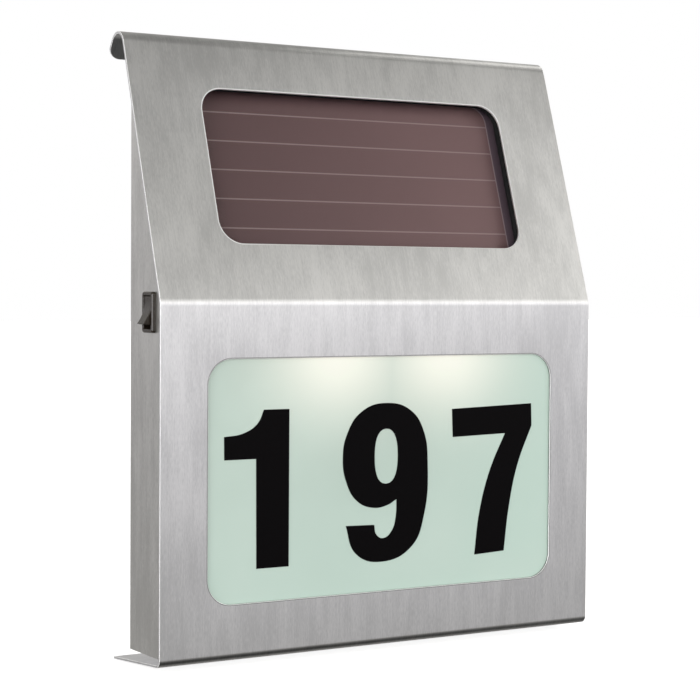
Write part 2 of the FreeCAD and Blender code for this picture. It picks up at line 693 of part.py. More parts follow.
def bosses():
    inside = housing_volume(HOUSING_FOOT)
    return [small_rod(Vector(x, HOUSING_BACK - BOSS_LENGTH, z), BACK, BOSS_RADIUS, BOSS_LENGTH).common(inside)
            for x, z in boss_places()]


def tray_ledge():
    """Ledge on the two side walls and the floor behind the tray's flange."""
    y0 = PANE_BACK + TRAY_WALL
    outer = slab(-HOUSING_IN, HOUSING_IN, y0, y0 + LEDGE_DEPTH, HOUSING_FLOOR, PARTITION)
    inner = slab(-HOUSING_IN + LEDGE, HOUSING_IN - LEDGE, y0 - PAST, y0 + LEDGE_DEPTH + PAST,
                 HOUSING_FLOOR + LEDGE, PARTITION + PAST)
    return outer.cut(inner)


def board_posts():
    """Posts under the partition that keep the LED board down."""
    top = LED_SEAT + LED_BOARD + POST_GAP
    x = LED_SPACING / 2 + LED_BOARD_END - 2 * POST_RADIUS
    post = small_rod(Vector(x, LED_Y, top), UP, POST_RADIUS, PARTITION - top)
    return both_sides(post)


def wire_hole():
    x, y = led_wire_place()
    return small_rod(Vector(x, y, PARTITION - PAST), UP, WIRE_HOLE, WALL + 2 * PAST)


def terminal_window():
    half_height = BLADE_SPREAD + BLADE_WIDTH / 2 + TERMINAL_WINDOW
    half_width = BLADE / 2 + TERMINAL_WINDOW
    return slab(-HOUSING_OUT - PAST, -HOUSING_IN + PAST, SWITCH_DEPTH - half_width, SWITCH_DEPTH + half_width,
                SWITCH_HEIGHT - half_height, SWITCH_HEIGHT + half_height)


def housing():
    shapes = [partition(), solar_seat(), tray_ledge()] + bosses() + board_posts() + on_each_stud(lug())
    body = fused(housing_walls(), shapes)
    pilots = [small_rod(Vector(x, HOUSING_BACK - SCREW_REACH, z), BACK,
                        SCREW_RADIUS + PILOT_CLEARANCE, SCREW_REACH + PAST) for x, z in boss_places()]
    cuts = pilots + stud_holes(LUG_SEAT + LUG) + [wire_hole(), terminal_window()]
    return body.cut(cuts)


def rim_seal():
    outside = profile_behind(SHEET, HOUSING_FOOT, HOUSING_TOP, HOUSING_BACK)
    front = profile_behind(HOUSING_FRONT, HOUSING_FOOT - PAST, HOUSING_TOP + PAST, HOUSING_BACK + PAST)
    inside = profile_behind(0, HOUSING_FLOOR, HOUSING_TOP - WALL, HOUSING_BACK)
    strip = side_prism(outside, -HOUSING_OUT, HOUSING_OUT)
    strip = strip.cut(side_prism(front, -HOUSING_OUT - PAST, HOUSING_OUT + PAST))
    return strip.cut(side_prism(inside, -HOUSING_IN, HOUSING_IN))


# ---- Rear cover ----------------------------------------------------------------------------
def rear_seal():
    return ring(HOUSING_OUT, HOUSING_FOOT, HOUSING_TOP, HOUSING_BACK, COVER_FACE,
                REAR_SEAL_WIDTH, REAR_CORNER)


def door_screw_places():
    side = BAY_HALF + LID_SCREW
    return [(-side, BATTERY_HEIGHT), (side, BATTERY_HEIGHT)]


def board_screw_places():
    margin = BOARD_SCREW_MARGIN
    low = (BOARD_RIGHT - margin, BOARD_LOW + margin)
    high = (BOARD_LEFT + margin, BOARD_LOW + BOARD_HEIGHT - margin)
    return [low, high]


def rear_cover():
    plate = rounded_slab(-HOUSING_OUT, HOUSING_OUT, COVER_FACE, REAR_FACE,
                         HOUSING_FOOT, HOUSING_TOP, REAR_CORNER)
    rim = [edge for edge in plate.Edges if abs(edge.CenterOfMass.y - REAR_FACE) < 0.01]
    plate = plate.makeChamfer(REAR_CHAMFER, rim)
    additions = []
    cuts = [slab(-BAY_HALF, BAY_HALF, COVER_FACE - PAST, REAR_FACE + PAST, BAY_BOTTOM, BAY_TOP)]
    for x, z in door_screw_places():
        additions.append(small_rod(Vector(x, COVER_FACE - SCREW_REACH, z), BACK, BOSS_RADIUS, SCREW_REACH))
        cuts.append(small_rod(Vector(x, COVER_FACE - SCREW_REACH + SCREW_SHORT, z), BACK,
                              SCREW_RADIUS + SCREW_CLEARANCE, REAR_COVER + SCREW_REACH))
    for x, z in board_screw_places():
        additions.append(small_rod(Vector(x, BOARD_BACK, z), BACK, STANDOFF_RADIUS, BOARD_STANDOFF))
        cuts.append(small_rod(Vector(x, BOARD_BACK - PAST, z), BACK,
                              BOARD_SCREW + BOARD_SCREW_CLEARANCE, BOARD_STANDOFF + PAST))
    for x, z in boss_places():
        cuts.append(small_rod(Vector(x, COVER_FACE - PAST, z), BACK,
                              SCREW_RADIUS + 2 * SCREW_CLEARANCE, REAR_COVER + 2 * PAST))
        cuts.append(small_rod(Vector(x, REAR_FACE - COUNTERBORE, z), BACK,
                              SCREW_HEAD + COUNTERBORE_GAP, COUNTERBORE + PAST))
    return fused(plate, additions + stiffening_ribs()).cut(cuts)


def stiffening_ribs():
    """Level ribs on the inside of the rear cover, behind the light tray."""
    pitch = (PARTITION - HOUSING_FLOOR) / (RIB_COUNT + 1)
    half = HOUSING_IN - RIB_END
    heights = [HOUSING_FLOOR + pitch * (step + 1) for step in range(RIB_COUNT)]
    return [slab(-half, half, COVER_FACE - RIB_DEPTH, COVER_FACE, z - RIB / 2, z + RIB / 2) for z in heights]


def screw(start, direction, shank_radius, shank, head_radius, head):
    """A screw from the underside of its head; the shank runs in the direction given."""
    body = small_rod(start, direction, shank_radius, shank)
    return fused(body, [small_rod(start - direction * head, direction, head_radius, head)])


def rear_screws():
    seat = REAR_FACE - COUNTERBORE
    reach = seat - HOUSING_BACK + SCREW_REACH - SCREW_SHORT
    return [screw(Vector(x, seat, z), BACK * -1, SCREW_RADIUS, reach, SCREW_HEAD, SCREW_HEAD_HEIGHT)
            for x, z in boss_places()]


# ---- Cells, tray and lid -------------------------------------------------------------------
def battery_tray():
    """Open box behind the opening in the rear cover, with a low rib between the two cells."""
    outer = slab(-BAY_HALF - BATTERY_WALL, BAY_HALF + BATTERY_WALL, BAY_FLOOR - BATTERY_WALL, COVER_FACE,
                 BAY_BOTTOM - BATTERY_WALL, BAY_TOP + BATTERY_WALL)
    space = slab(-BAY_HALF, BAY_HALF, BAY_FLOOR, COVER_FACE + PAST, BAY_BOTTOM, BAY_TOP)
    half_rib = (CELL_PITCH - 2 * CELL_RADIUS) / 2
    rib = slab(-TRAY_RIB_HALF, TRAY_RIB_HALF, BAY_FLOOR, BAY_FLOOR + TRAY_RIB_HEIGHT,
               BATTERY_HEIGHT - half_rib, BATTERY_HEIGHT + half_rib)
    return fused(outer.cut(space), [rib])


def battery(height, turned):
    """A cell along X; its button is on the right, or on the left when it is turned."""
    can = rod(Vector(-CELL_LENGTH / 2, CELL_Y, height), RIGHT, CELL_RADIUS, CELL_LENGTH - CELL_BUTTON_HEIGHT)
    button = small_rod(Vector(CELL_LENGTH / 2 - 2 * CELL_BUTTON_HEIGHT, CELL_Y, height), RIGHT,
                       CELL_BUTTON, 2 * CELL_BUTTON_HEIGHT)
    cell = fused(can, [button])
    return cell.mirror(Vector(0, 0, 0), RIGHT) if turned else cell


def battery_contacts():
    contacts = []
    for row in (-1, 1):
        height = BATTERY_HEIGHT + row * CELL_PITCH / 2
        plate = slab(BAY_HALF - CONTACT, BAY_HALF, CELL_Y - CONTACT_HALF, CELL_Y + CONTACT_HALF,
                     height - CONTACT_HALF, height + CONTACT_HALF)
        spring = small_rod(Vector(BAY_HALF - CONTACT, CELL_Y, height), RIGHT * -1, CONTACT_RADIUS, CONTACT_REACH)
        contacts += both_sides(fused(plate, [spring]))
    return contacts


def battery_door():
    half = BAY_HALF + LID_EAR
    lid = rounded_slab(-half, half, LID_FACE, LID_OUT, BAY_BOTTOM - LID_LAP, BAY_TOP + LID_LAP, LID_CORNER)
    rim = [edge for edge in lid.Edges if abs(edge.CenterOfMass.y - LID_OUT) < 0.01]
    lid = lid.makeChamfer(LID_CHAMFER, rim)
    gap = LID_SPIGOT_GAP
    spigot = slab(-BAY_HALF + gap, BAY_HALF - gap, REAR_FACE - LID_SPIGOT_REACH, LID_FACE,
                  BAY_BOTTOM + gap, BAY_TOP - gap)
    gap += LID_SPIGOT
    hollow = slab(-BAY_HALF + gap, BAY_HALF - gap, REAR_FACE - LID_SPIGOT_REACH - PAST, LID_FACE,
                  BAY_BOTTOM + gap, BAY_TOP - gap)
    door = fused(lid, [spigot.cut(hollow)])
    cuts = []
    for x, z in door_screw_places():
        cuts.append(small_rod(Vector(x, LID_FACE - PAST, z), BACK, SCREW_RADIUS + SCREW_CLEARANCE, LID + 2 * PAST))
        cuts.append(small_rod(Vector(x, LID_OUT - COUNTERBORE, z), BACK,
                              SCREW_HEAD + COUNTERBORE_GAP, COUNTERBORE + PAST))
    return door.cut(cuts)


def door_seal():
    reach = LID_SEAL_GAP + LID_SEAL_WIDTH
    return ring(BAY_HALF + reach, BAY_BOTTOM - reach, BAY_TOP + reach, REAR_FACE, LID_FACE,
                LID_SEAL_WIDTH, LID_SEAL_CORNER)


def door_screws():
    seat = LID_OUT - COUNTERBORE
    reach = seat - COVER_FACE + SCREW_REACH - 2 * SCREW_SHORT
    return [screw(Vector(x, seat, z), BACK * -1, SCREW_RADIUS, reach, SCREW_HEAD, SCREW_HEAD_HEIGHT)
            for x, z in door_screw_places()]


# ---- Control board -------------------------------------------------------------------------
def control_board():
    board = slab(BOARD_LEFT, BOARD_RIGHT, BOARD_FRONT, BOARD_BACK,
                 BOARD_LOW, BOARD_LOW + BOARD_HEIGHT)
    holes = [small_rod(Vector(x, BOARD_FRONT - PAST, z), BACK,
                       BOARD_SCREW + BOARD_SCREW_CLEARANCE, BOARD + 2 * PAST)
             for x, z in board_screw_places()]
    return board.cut(holes)


def plug_heights():
    """Heights of the four plugs: LEDs, cells, switch and solar panel."""
    first = BATTERY_HEIGHT - PLUG_DROP
    return [first + step * PLUG_PITCH for step in range(4)]


def board_parts():
    front = BOARD_FRONT
    edge = BOARD_LEFT + PLUG_EDGE
    plugs = [slab(edge, edge + PLUG, front - PLUG_DEPTH, front,
                  height - PLUG / 2, height + PLUG / 2) for height in plug_heights()]
    middle = (edge + PLUG + BOARD_RIGHT) / 2
    coil = rod(Vector(middle, front - COIL_HEIGHT, BATTERY_HEIGHT + COIL_RISE), BACK, COIL_RADIUS, COIL_HEIGHT)
    can = rod(Vector(middle + CAN_SIDE, front - CAN_HEIGHT, BATTERY_HEIGHT), BACK, CAN_RADIUS, CAN_HEIGHT)
    top = BATTERY_HEIGHT - CHIP_DROP
    chip = slab(middle - CHIP, middle, front - CHIP_HEIGHT, front, top - CHIP, top)
    return plugs + [coil, can, chip]


def board_screws():
    return [screw(Vector(x, BOARD_FRONT, z), BACK, BOARD_SCREW, BOARD + BOARD_STANDOFF - SCREW_SHORT,
                  BOARD_SCREW_HEAD, BOARD_SCREW_HEAD_HEIGHT) for x, z in board_screw_places()]


# ---- Switch --------------------------------------------------------------------------------
def switch_slab(low, high, half_width, half_height):
    """A block square to the left cheek, from one height above its outer face to another."""
    return slab(-CHEEK_OUT - high, -CHEEK_OUT - low,
                SWITCH_DEPTH - half_width, SWITCH_DEPTH + half_width,
                SWITCH_HEIGHT - half_height, SWITCH_HEIGHT + half_height)


def switch_barb():
    """Snap wedge behind the sheet, above the switch."""
    edge = SWITCH_HEIGHT + NECK_HEIGHT / 2
    start = -CHEEK_IN + NECK_CLEARANCE
    y0 = SWITCH_DEPTH - BARB_WIDTH / 2
    corners = [Vector(start, y0, edge - BARB_SINK), Vector(start, y0, edge + BARB),
               Vector(start + BARB_LENGTH, y0, edge - BARB_SINK)]
    wedge = Part.Face(Part.makePolygon(corners + corners[:1])).extrude(BACK * BARB_WIDTH)
    lower = wedge.mirror(Vector(0, 0, SWITCH_HEIGHT), UP)
    return [wedge, lower]


def switch_body():
    bezel = switch_slab(0, BEZEL, BEZEL_WIDTH / 2, BEZEL_HEIGHT / 2)
    face = [edge for edge in bezel.Edges if abs(edge.CenterOfMass.x + CHEEK_OUT + BEZEL) < 0.01]
    bezel = bezel.makeChamfer(BEZEL_CHAMFER, face)
    neck = switch_slab(-SWITCH_BODY, 0, NECK_WIDTH / 2, NECK_HEIGHT / 2)
    well = switch_slab(-ROCKER_WELL, BEZEL + PAST, ROCKER_WELL_WIDTH / 2, ROCKER_WELL_HEIGHT / 2)
    reach = ROCKER_WELL_WIDTH / 2 + PIVOT_LENGTH
    pivot = rod(Vector(PIVOT_X, SWITCH_DEPTH - reach, SWITCH_HEIGHT), BACK,
                PIVOT_RADIUS + PIVOT_CLEARANCE, 2 * reach)
    return fused(bezel, [neck] + switch_barb()).cut([well, pivot])


def rocker_section():
    """Side view of the paddle in its middle position: across the wall, then up."""
    def at(rise, along):
        return Vector(PIVOT_X - rise, 0, SWITCH_HEIGHT + along)
    top = Part.Arc(at(ROCKER_RISE, -ROCKER_TIP), at(ROCKER_RISE - ROCKER_DISH, 0),
                   at(ROCKER_RISE, ROCKER_TIP)).toShape()
    upper = Part.makeLine(at(ROCKER_RISE, ROCKER_TIP), at(-ROCKER_DROP, ROCKER_HEEL))
    belly = Part.Arc(at(-ROCKER_DROP, ROCKER_HEEL), at(-ROCKER_BELLY, 0),
                     at(-ROCKER_DROP, -ROCKER_HEEL)).toShape()
    lower = Part.makeLine(at(-ROCKER_DROP, -ROCKER_HEEL), at(ROCKER_RISE, -ROCKER_TIP))
    return Part.Face(Part.Wire([top, upper, belly, lower]))


def switch_rocker():
    half = ROCKER_WELL_WIDTH / 2 - ROCKER_GAP
    section = rocker_section()
    section.translate(BACK * (SWITCH_DEPTH - half))
    paddle = section.extrude(BACK * (2 * half))
    reach = half + PIVOT_LENGTH
    axle = rod(Vector(PIVOT_X, SWITCH_DEPTH - reach, SWITCH_HEIGHT), BACK, PIVOT_RADIUS, 2 * reach)
    rocker = fused(paddle, [axle])
    rocker.rotate(Vector(PIVOT_X, 0, SWITCH_HEIGHT), BACK, ROCKER_THROW)
    return rocker


def switch_terminals():
    x0 = -CHEEK_OUT + SWITCH_BODY
    return [slab(x0, x0 + BLADE_LENGTH, SWITCH_DEPTH - BLADE / 2, SWITCH_DEPTH + BLADE / 2,
                 SWITCH_HEIGHT + side * BLADE_SPREAD - BLADE_WIDTH / 2,
                 SWITCH_HEIGHT + side * BLADE_SPREAD + BLADE_WIDTH / 2) for side in (-1, 1)]


# ---- Wires ---------------------------------------------------------------------------------
def wire(points):
    """A lead along straight runs, with each bend as wide as its two runs allow."""
    radii = []
    for before, corner, after in zip(points, points[1:], points[2:]):
        run = min((corner - before).Length, (after - corner).Length)
        half_turn = (corner - before).getAngle(after - corner) / 2
        radii.append(BEND_SHARE * run / math.tan(half_turn))
    spine = Part.Wire(filleted_path(points, radii))
    heading = (points[1] - points[0]).normalize()
    outline = polygon(points[0], heading, WIRE_RADIUS, LEAD_SIDES)
    lead = spine.makePipeShell([outline], True, False)
    ideal = Part.Face(outline).Area * spine.Length
    print(f"wire bends {[round(radius, 1) for radius in radii]}  volume ratio {lead.Volume / ideal:.4f}")
    return lead


def plug_entry(index):
    return Vector(BOARD_LEFT + PLUG_EDGE, WIRE_Y, plug_heights()[index])


def led_wire_place():
    return BAY_HALF + BATTERY_WALL + WIRE_TURN, LED_Y + LED_BOARD_REAR / 2


def led_wires():
    x, y = led_wire_place()
    entry = plug_entry(0)
    above = (PARTITION + WALL + entry.z) / 2
    return wire([Vector(x, y, LED_SEAT + LED_BOARD), Vector(x, y, above), Vector(x, WIRE_Y, entry.z), entry])


def battery_wires():
    entry = plug_entry(1)
    start = Vector(BAY_HALF + BATTERY_WALL, WIRE_Y, entry.z - 2 * WIRE_RADIUS)
    stub = RIGHT * WIRE_STUB
    return wire([start, start + stub, entry - stub, entry])


def switch_wires():
    """Over the battery tray, then down between the tray and the board."""
    entry = plug_entry(2)
    over = BAY_TOP + BATTERY_WALL + WIRE_ABOVE
    start = Vector(-CHEEK_OUT + SWITCH_BODY + BLADE_LENGTH, SWITCH_DEPTH, SWITCH_HEIGHT + BLADE_SPREAD)
    tray_end = BAY_HALF + BATTERY_WALL
    return wire([start, start + RIGHT * WIRE_STUB, Vector(-tray_end - WIRE_TURN, WIRE_Y, over),
                 Vector(tray_end, WIRE_Y, over), Vector(tray_end + WIRE_TURN, WIRE_Y, entry.z), entry])


def solar_wires():
    """Down beside the board, in the gap to the lid's screw boss."""
    entry = plug_entry(3)
    x, along = tab_places()[0]
    start = slope_point(x, GLASS_BACK + CELLS + TAB, along)
    out = slope_point(x, GLASS_BACK + CELLS + TAB + WIRE_STUB, along)
    lane = BOARD_LEFT - BOARD_GAP / 2
    above = (out.z + entry.z) / 2
    return wire([start, out, Vector(lane, WIRE_Y, above), Vector(lane, WIRE_Y, entry.z), entry])


# ---- Saving --------------------------------------------------------------------------------
def save(name, shapes):
    """Writes one node with its origin at the hook's seat."""
    solids = shapes if isinstance(shapes, list) else [shapes]
    parts = [solid for shape in solids for solid in shape.Solids]
    node = parts[0] if len(parts) == 1 else Part.makeCompound(parts)
    node.translate(hook_seat() * -1)
    node.exportStep("parts/" + name + ".step")
    volume = sum(solid.Volume for solid in node.Solids)
    print(f"{name:18s} {len(node.Solids):3d} solids  {volume:10.1f} mm3  valid {node.isValid()}")


def main():
    os.makedirs("parts", exist_ok=True)
    save("front_cover", front_cover())
    save("cover_studs", cover_studs())
    save("stud_nuts", stud_nuts())
    save("left_cheek", left_cheek())
    save("right_cheek", right_cheek())
    save("number_window", number_window())
    save("window_gasket", window_gasket())
    save("reflector", reflector())
    save("led_board", led_board())
    save("leds", leds())
    save("solar_gasket", solar_gasket())
    save("solar_glass", solar_glass())
    save("solar_cells", solar_cells())
    save("solar_tabs", solar_tabs())
    save("housing", housing())
    save("rim_seal", rim_seal())
    save("rear_cover", rear_cover())
    save("rear_seal", rear_seal())
    save("rear_screws", rear_screws())
    save("battery_tray", battery_tray())
    save("battery_lower", battery(BATTERY_HEIGHT - CELL_PITCH / 2, False))
    save("battery_upper", battery(BATTERY_HEIGHT + CELL_PITCH / 2, True))
    save("battery_contacts", battery_contacts())
    save("battery_door", battery_door())
    save("door_seal", door_seal())
    save("door_screws", door_screws())
    save("control_board", control_board())
    save("board_parts", board_parts())
    save("board_screws", board_screws())
    save("switch_body", switch_body())
    save("switch_rocker", switch_rocker())
    save("switch_terminals", switch_terminals())
    save("led_wires", led_wires())
    save("battery_wires", battery_wires())
    save("switch_wires", switch_wires())
    save("solar_wires", solar_wires())
    seat = hook_seat()
    y, z = flange_hole_place()
    print(f"flange holes at y {y - seat.y:.3f}  z {z - seat.z:.3f}  pivot x {PIVOT_X:.3f} "
          f"y {SWITCH_DEPTH - seat.y:.3f} z {SWITCH_HEIGHT - seat.z:.3f}  seat {seat.y:.3f} {seat.z:.3f}")


main()
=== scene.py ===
# %% [markdown]
# # A lit house number sign in brushed steel
# The real sign is one folded stainless sheet on two side walls, with a lit opal window below
# and a solar panel above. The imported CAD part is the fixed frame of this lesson: it gives
# every size and every joint. Blender adds fine folds, soft edges, finishes, light and camera.

# %% The frame
import bpy
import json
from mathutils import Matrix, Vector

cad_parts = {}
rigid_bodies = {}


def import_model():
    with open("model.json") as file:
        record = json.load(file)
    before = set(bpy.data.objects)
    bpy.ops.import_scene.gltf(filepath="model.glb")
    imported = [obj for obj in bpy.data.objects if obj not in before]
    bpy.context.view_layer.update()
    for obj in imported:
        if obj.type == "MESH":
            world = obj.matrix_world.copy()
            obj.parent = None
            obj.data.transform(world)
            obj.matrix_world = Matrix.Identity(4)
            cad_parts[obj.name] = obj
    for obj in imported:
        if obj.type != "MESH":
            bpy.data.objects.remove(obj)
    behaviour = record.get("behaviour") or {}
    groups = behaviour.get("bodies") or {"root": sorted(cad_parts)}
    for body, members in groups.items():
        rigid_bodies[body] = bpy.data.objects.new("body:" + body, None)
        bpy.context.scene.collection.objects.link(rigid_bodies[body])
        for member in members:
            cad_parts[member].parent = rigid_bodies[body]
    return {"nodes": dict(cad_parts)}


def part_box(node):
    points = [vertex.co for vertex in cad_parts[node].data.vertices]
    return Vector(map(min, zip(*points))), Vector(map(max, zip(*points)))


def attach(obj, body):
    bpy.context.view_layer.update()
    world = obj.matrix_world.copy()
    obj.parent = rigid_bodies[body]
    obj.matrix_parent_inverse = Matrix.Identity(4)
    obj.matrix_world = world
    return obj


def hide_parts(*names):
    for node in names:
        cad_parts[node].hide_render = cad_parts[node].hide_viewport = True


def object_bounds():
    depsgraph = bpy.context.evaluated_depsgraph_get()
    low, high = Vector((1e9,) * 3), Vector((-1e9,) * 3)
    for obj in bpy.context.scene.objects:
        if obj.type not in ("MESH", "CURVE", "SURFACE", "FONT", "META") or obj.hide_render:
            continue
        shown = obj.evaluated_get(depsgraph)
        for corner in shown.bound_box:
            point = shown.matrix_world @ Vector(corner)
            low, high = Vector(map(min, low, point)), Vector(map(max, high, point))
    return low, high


for leftover in list(bpy.data.objects):
    bpy.data.objects.remove(leftover)
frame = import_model()
cad_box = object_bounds()
nodes = frame["nodes"]

# %% [markdown]
# The sign was drawn in millimetres from its foot corner, where the front face and the bottom
# flange would meet if the bend were sharp. One small function turns such a point into the
# scene's metres. It is anchored on two CAD nodes, the sheet's front and the lower edge of the
# opal pane, which is 16 mm over the foot corner, so it follows the frame if that moves.

# %% Drawing millimetres
import json
import math

import bmesh
from mathutils import Matrix, Vector

PANE_LOW = 16.0
FRONT_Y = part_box("front_cover")[0].y
FOOT_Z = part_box("number_window")[0].z - PANE_LOW / 1000


def at(x, y, z):
    """A drawing point, in millimetres, in the scene's metres."""
    return Vector((x / 1000, FRONT_Y + y / 1000, FOOT_Z + z / 1000))


print("foot corner at", [round(value, 4) for value in at(0, 0, 0)])

# %% [markdown]
# A few measures of the sheet serve both its shape and its finish, so they are named once. A
# window is given by its half width, its lower and upper edge and its corner radius. The number
# window is measured from the foot corner, and the solar window up the slope from the crease.

# %% Measures of the sheet
SHEET = 1.0
HALF = 100.0
CREASE = 136.0
LEAN = math.radians(18.35)
NUMBER_WINDOW = (80.0, 21.5, 114.5, 10.0)
SOLAR_WINDOW = (70.5, 23.5, 87.1, 9.5)


def slope_at(x, depth, up_slope):
    """A point given across, behind and up the leaning face, in millimetres."""
    return at(x, depth * math.cos(LEAN) + up_slope * math.sin(LEAN),
              CREASE - depth * math.sin(LEAN) + up_slope * math.cos(LEAN))


print("the face above the crease leans back by", round(math.degrees(LEAN), 2), "degrees")

# %% [markdown]
# The photograph was taken from the left front, a little above the sign's middle, with a long
# lens. The straight edges of the sheet were enough to solve that view. A camera matrix is
# built from its three directions, because yaw, pitch and roll are then easy to read.

# %% Camera at the photograph's angle
YAW, PITCH, ROLL = (math.radians(angle) for angle in (31.416, -1.951, 0.361))
CAMERA_PLACE = (-0.408908, -0.678535, -0.095572)
FOCAL_LENGTH = 98.75

forward = Vector((math.sin(YAW) * math.cos(PITCH), math.cos(YAW) * math.cos(PITCH), math.sin(PITCH)))
level = forward.cross(Vector((0, 0, 1))).normalized()
upward = level.cross(forward)
right = level * math.cos(ROLL) + upward * math.sin(ROLL)
top = upward * math.cos(ROLL) - level * math.sin(ROLL)
camera = bpy.data.objects.new("camera", bpy.data.cameras.new("camera"))
camera.data.lens = FOCAL_LENGTH
camera.data.sensor_width = 36
aimed = Matrix((right, top, -forward)).transposed().to_4x4()
camera.matrix_world = Matrix.Translation(CAMERA_PLACE) @ aimed
bpy.context.scene.collection.objects.link(camera)
bpy.context.scene.camera = camera
print("camera looks along", [round(value, 3) for value in forward])

# %% [markdown]
# Finishes are written as sums. The class below wraps one socket of a node tree, so that
# 1 - streaks or place * 40 adds the node that does it. Plain numbers go through Math nodes
# and vectors through Vector Math, because a Math node would turn a vector into one number.


# %% Sockets that Python can add and multiply
class Socket:
    """An output of a node tree that works with Python's operators."""

    def __init__(self, finish, output):
        self.finish = finish
        self.output = output

    def joined(self, operation, first, second):
        kind = "ShaderNodeVectorMath" if self.output.type == "VECTOR" else "ShaderNodeMath"
        return self.finish.node(kind, {"operation": operation}, [first, second])

    def __add__(self, other):
        return self.joined("ADD", self, other)

    def __radd__(self, other):
        return self.joined("ADD", other, self)

    def __sub__(self, other):
        return self.joined("SUBTRACT", self, other)

    def __rsub__(self, other):
        return self.joined("SUBTRACT", other, self)

    def __mul__(self, other):
        return self.joined("MULTIPLY", self, other)

    def __rmul__(self, other):
        return self.joined("MULTIPLY", other, self)

    def __truediv__(self, other):
        return self.joined("DIVIDE", self, other)

    def __rtruediv__(self, other):
        return self.joined("DIVIDE", other, self)

    def __pow__(self, power):
        return self.joined("POWER", self, power)

    def __abs__(self):
        return self.maths("ABSOLUTE")

    def maths(self, operation, *others):
        return self.finish.node("ShaderNodeMath", {"operation": operation}, [self, *others])


# %% [markdown]
# Every other node comes from one method: its type, its settings, and what goes into its
# sockets. A colour is given as it reads on a screen, from 0 to 255, and turned into the
# linear values that a shader works with.


# %% A finish and its nodes
def colour(red, green, blue):
    """Screen values from 0 to 255 as a linear colour."""
    shares = [value / 255 for value in (red, green, blue)]
    linear = [share / 12.92 if share < 0.0404 else ((share + 0.055) / 1.055) ** 2.4 for share in shares]
    return (*linear, 1.0)


def grey(value):
    """An even linear tone."""
    return (value, value, value, 1.0)


class Finish:
    """The node tree of a material, or of the world."""

    def __init__(self, owner):
        owner.use_nodes = True
        self.owner = owner
        self.tree = owner.node_tree
        self.tree.nodes.clear()

    def node(self, kind, settings=None, inputs=None, output=0):
        node = self.tree.nodes.new(kind)
        for name, value in (settings or {}).items():
            if name == "stops":
                self.set_stops(node.color_ramp, value)
            else:
                setattr(node, name, value)
        pairs = inputs.items() if isinstance(inputs, dict) else enumerate(inputs or [])
        for key, value in pairs:
            self.put(node.inputs[key], value)
        return Socket(self, node.outputs[output]) if node.outputs else node

    def put(self, socket, value):
        if isinstance(value, Socket):
            self.tree.links.new(value.output, socket)
        elif socket.type == "VECTOR" and isinstance(value, (int, float)):
            socket.default_value = (value, value, value)
        else:
            socket.default_value = value

    def set_stops(self, ramp, stops):
        ramp.elements.remove(ramp.elements[1])
        for index, (position, value) in enumerate(stops):
            element = ramp.elements[0] if index == 0 else ramp.elements.new(position)
            element.position = position
            element.color = grey(value)

    def place(self):
        """Where the surface is, in metres."""
        return self.node("ShaderNodeTexCoord", output="Object")

    def axes(self, vector):
        parts = self.node("ShaderNodeSeparateXYZ", inputs=[vector]).output.node
        return [Socket(self, output) for output in parts.outputs]

    def noise(self, vector, scale, detail=2.0):
        sockets = {"Vector": vector, "Scale": scale, "Detail": detail}
        return self.node("ShaderNodeTexNoise", inputs=sockets)

    def mix(self, low, high, factor):
        """A colour between two. Socket 0 is the factor, 6 and 7 are the colours."""
        return self.node("ShaderNodeMix", {"data_type": "RGBA"}, {0: factor, 6: low, 7: high}, output=2)

    def between(self, value, low, high):
        """0 below the low value, 1 above the high one, and smooth between."""
        smooth = {"interpolation_type": "SMOOTHSTEP"}
        return self.node("ShaderNodeMapRange", smooth, [value, low, high, 0.0, 1.0])

    def bump(self, height, strength, depth):
        sockets = {"Height": height, "Strength": strength, "Distance": depth}
        return self.node("ShaderNodeBump", inputs=sockets)

    def surface(self, sockets):
        """Closes the tree with one Principled shader and returns the material."""
        shader = self.node("ShaderNodeBsdfPrincipled", inputs=sockets)
        self.node("ShaderNodeOutputMaterial", inputs={"Surface": shader})
        return self.owner


print("finishes are written as sums of sockets")

# %% [markdown]
# Brushed steel shows what stands round it, so the studio is painted by direction: brightest
# a little above the horizon in front of the sign, dim behind it and on the right, dark above
# and below. Each band is an angle over the horizon and its light. Two soft boxes stand on the
# left and on the right. The camera itself sees plain white, as in the photograph.

# %% Studio light by direction
world = bpy.data.worlds.new("soft_studio")
bpy.context.scene.world = world
sky = Finish(world)
east, north, height = sky.axes(sky.node("ShaderNodeTexCoord", output="Generated"))
bands = [(-90, 0.01), (-60, 0.02), (-42, 0.05), (-25, 0.20), (-15, 0.56), (-12, 0.68),
         (-9, 0.53), (-5, 0.53), (-1.5, 0.88), (0, 1.02), (5, 1.6), (12, 2.3),
         (18, 1.7), (26, 0.92), (33, 0.58), (40, 0.34), (58, 0.24), (90, 0.24)]
peak = max(light for angle, light in bands)
stops = [(0.5 + 0.5 * math.sin(math.radians(angle)), light / peak) for angle, light in bands]
level_light = sky.node("ShaderNodeValToRGB", {"stops": stops}, [height * 0.5 + 0.5]) * peak
overhead = sky.between(height, 0.25, 0.45)
eastward = sky.between(east, 0.20, 0.80) * 0.62 - 0.42
front_light = level_light * (1 + eastward * overhead)
behind = sky.between(north, -0.35, 0.55)
back_light = level_light * 0.22 + 0.33
dark_side = sky.between(east, 0.66, 0.90) * (1 - sky.between(height, 0.10, 0.28)) * 0.85
left_box = sky.between(east * -0.86 + north * -0.50 + height * 0.10, 0.90, 0.99) * 4.0
right_box = sky.between(east * 0.81 + north * 0.14 + height * 0.57, 0.94, 0.99) * 3.5
studio = (front_light * (1 - behind) + back_light * behind) * (1 - dark_side) + left_box + right_box
seen = sky.node("ShaderNodeLightPath")
brightness = studio * (1 - seen) + seen
cool, warm = (1.0, 0.99, 1.03, 1.0), (1.0, 0.992, 0.95, 1.0)
tint = sky.mix(sky.mix(cool, warm, sky.between(abs(height), 0.06, 0.36)), grey(1.0), seen)
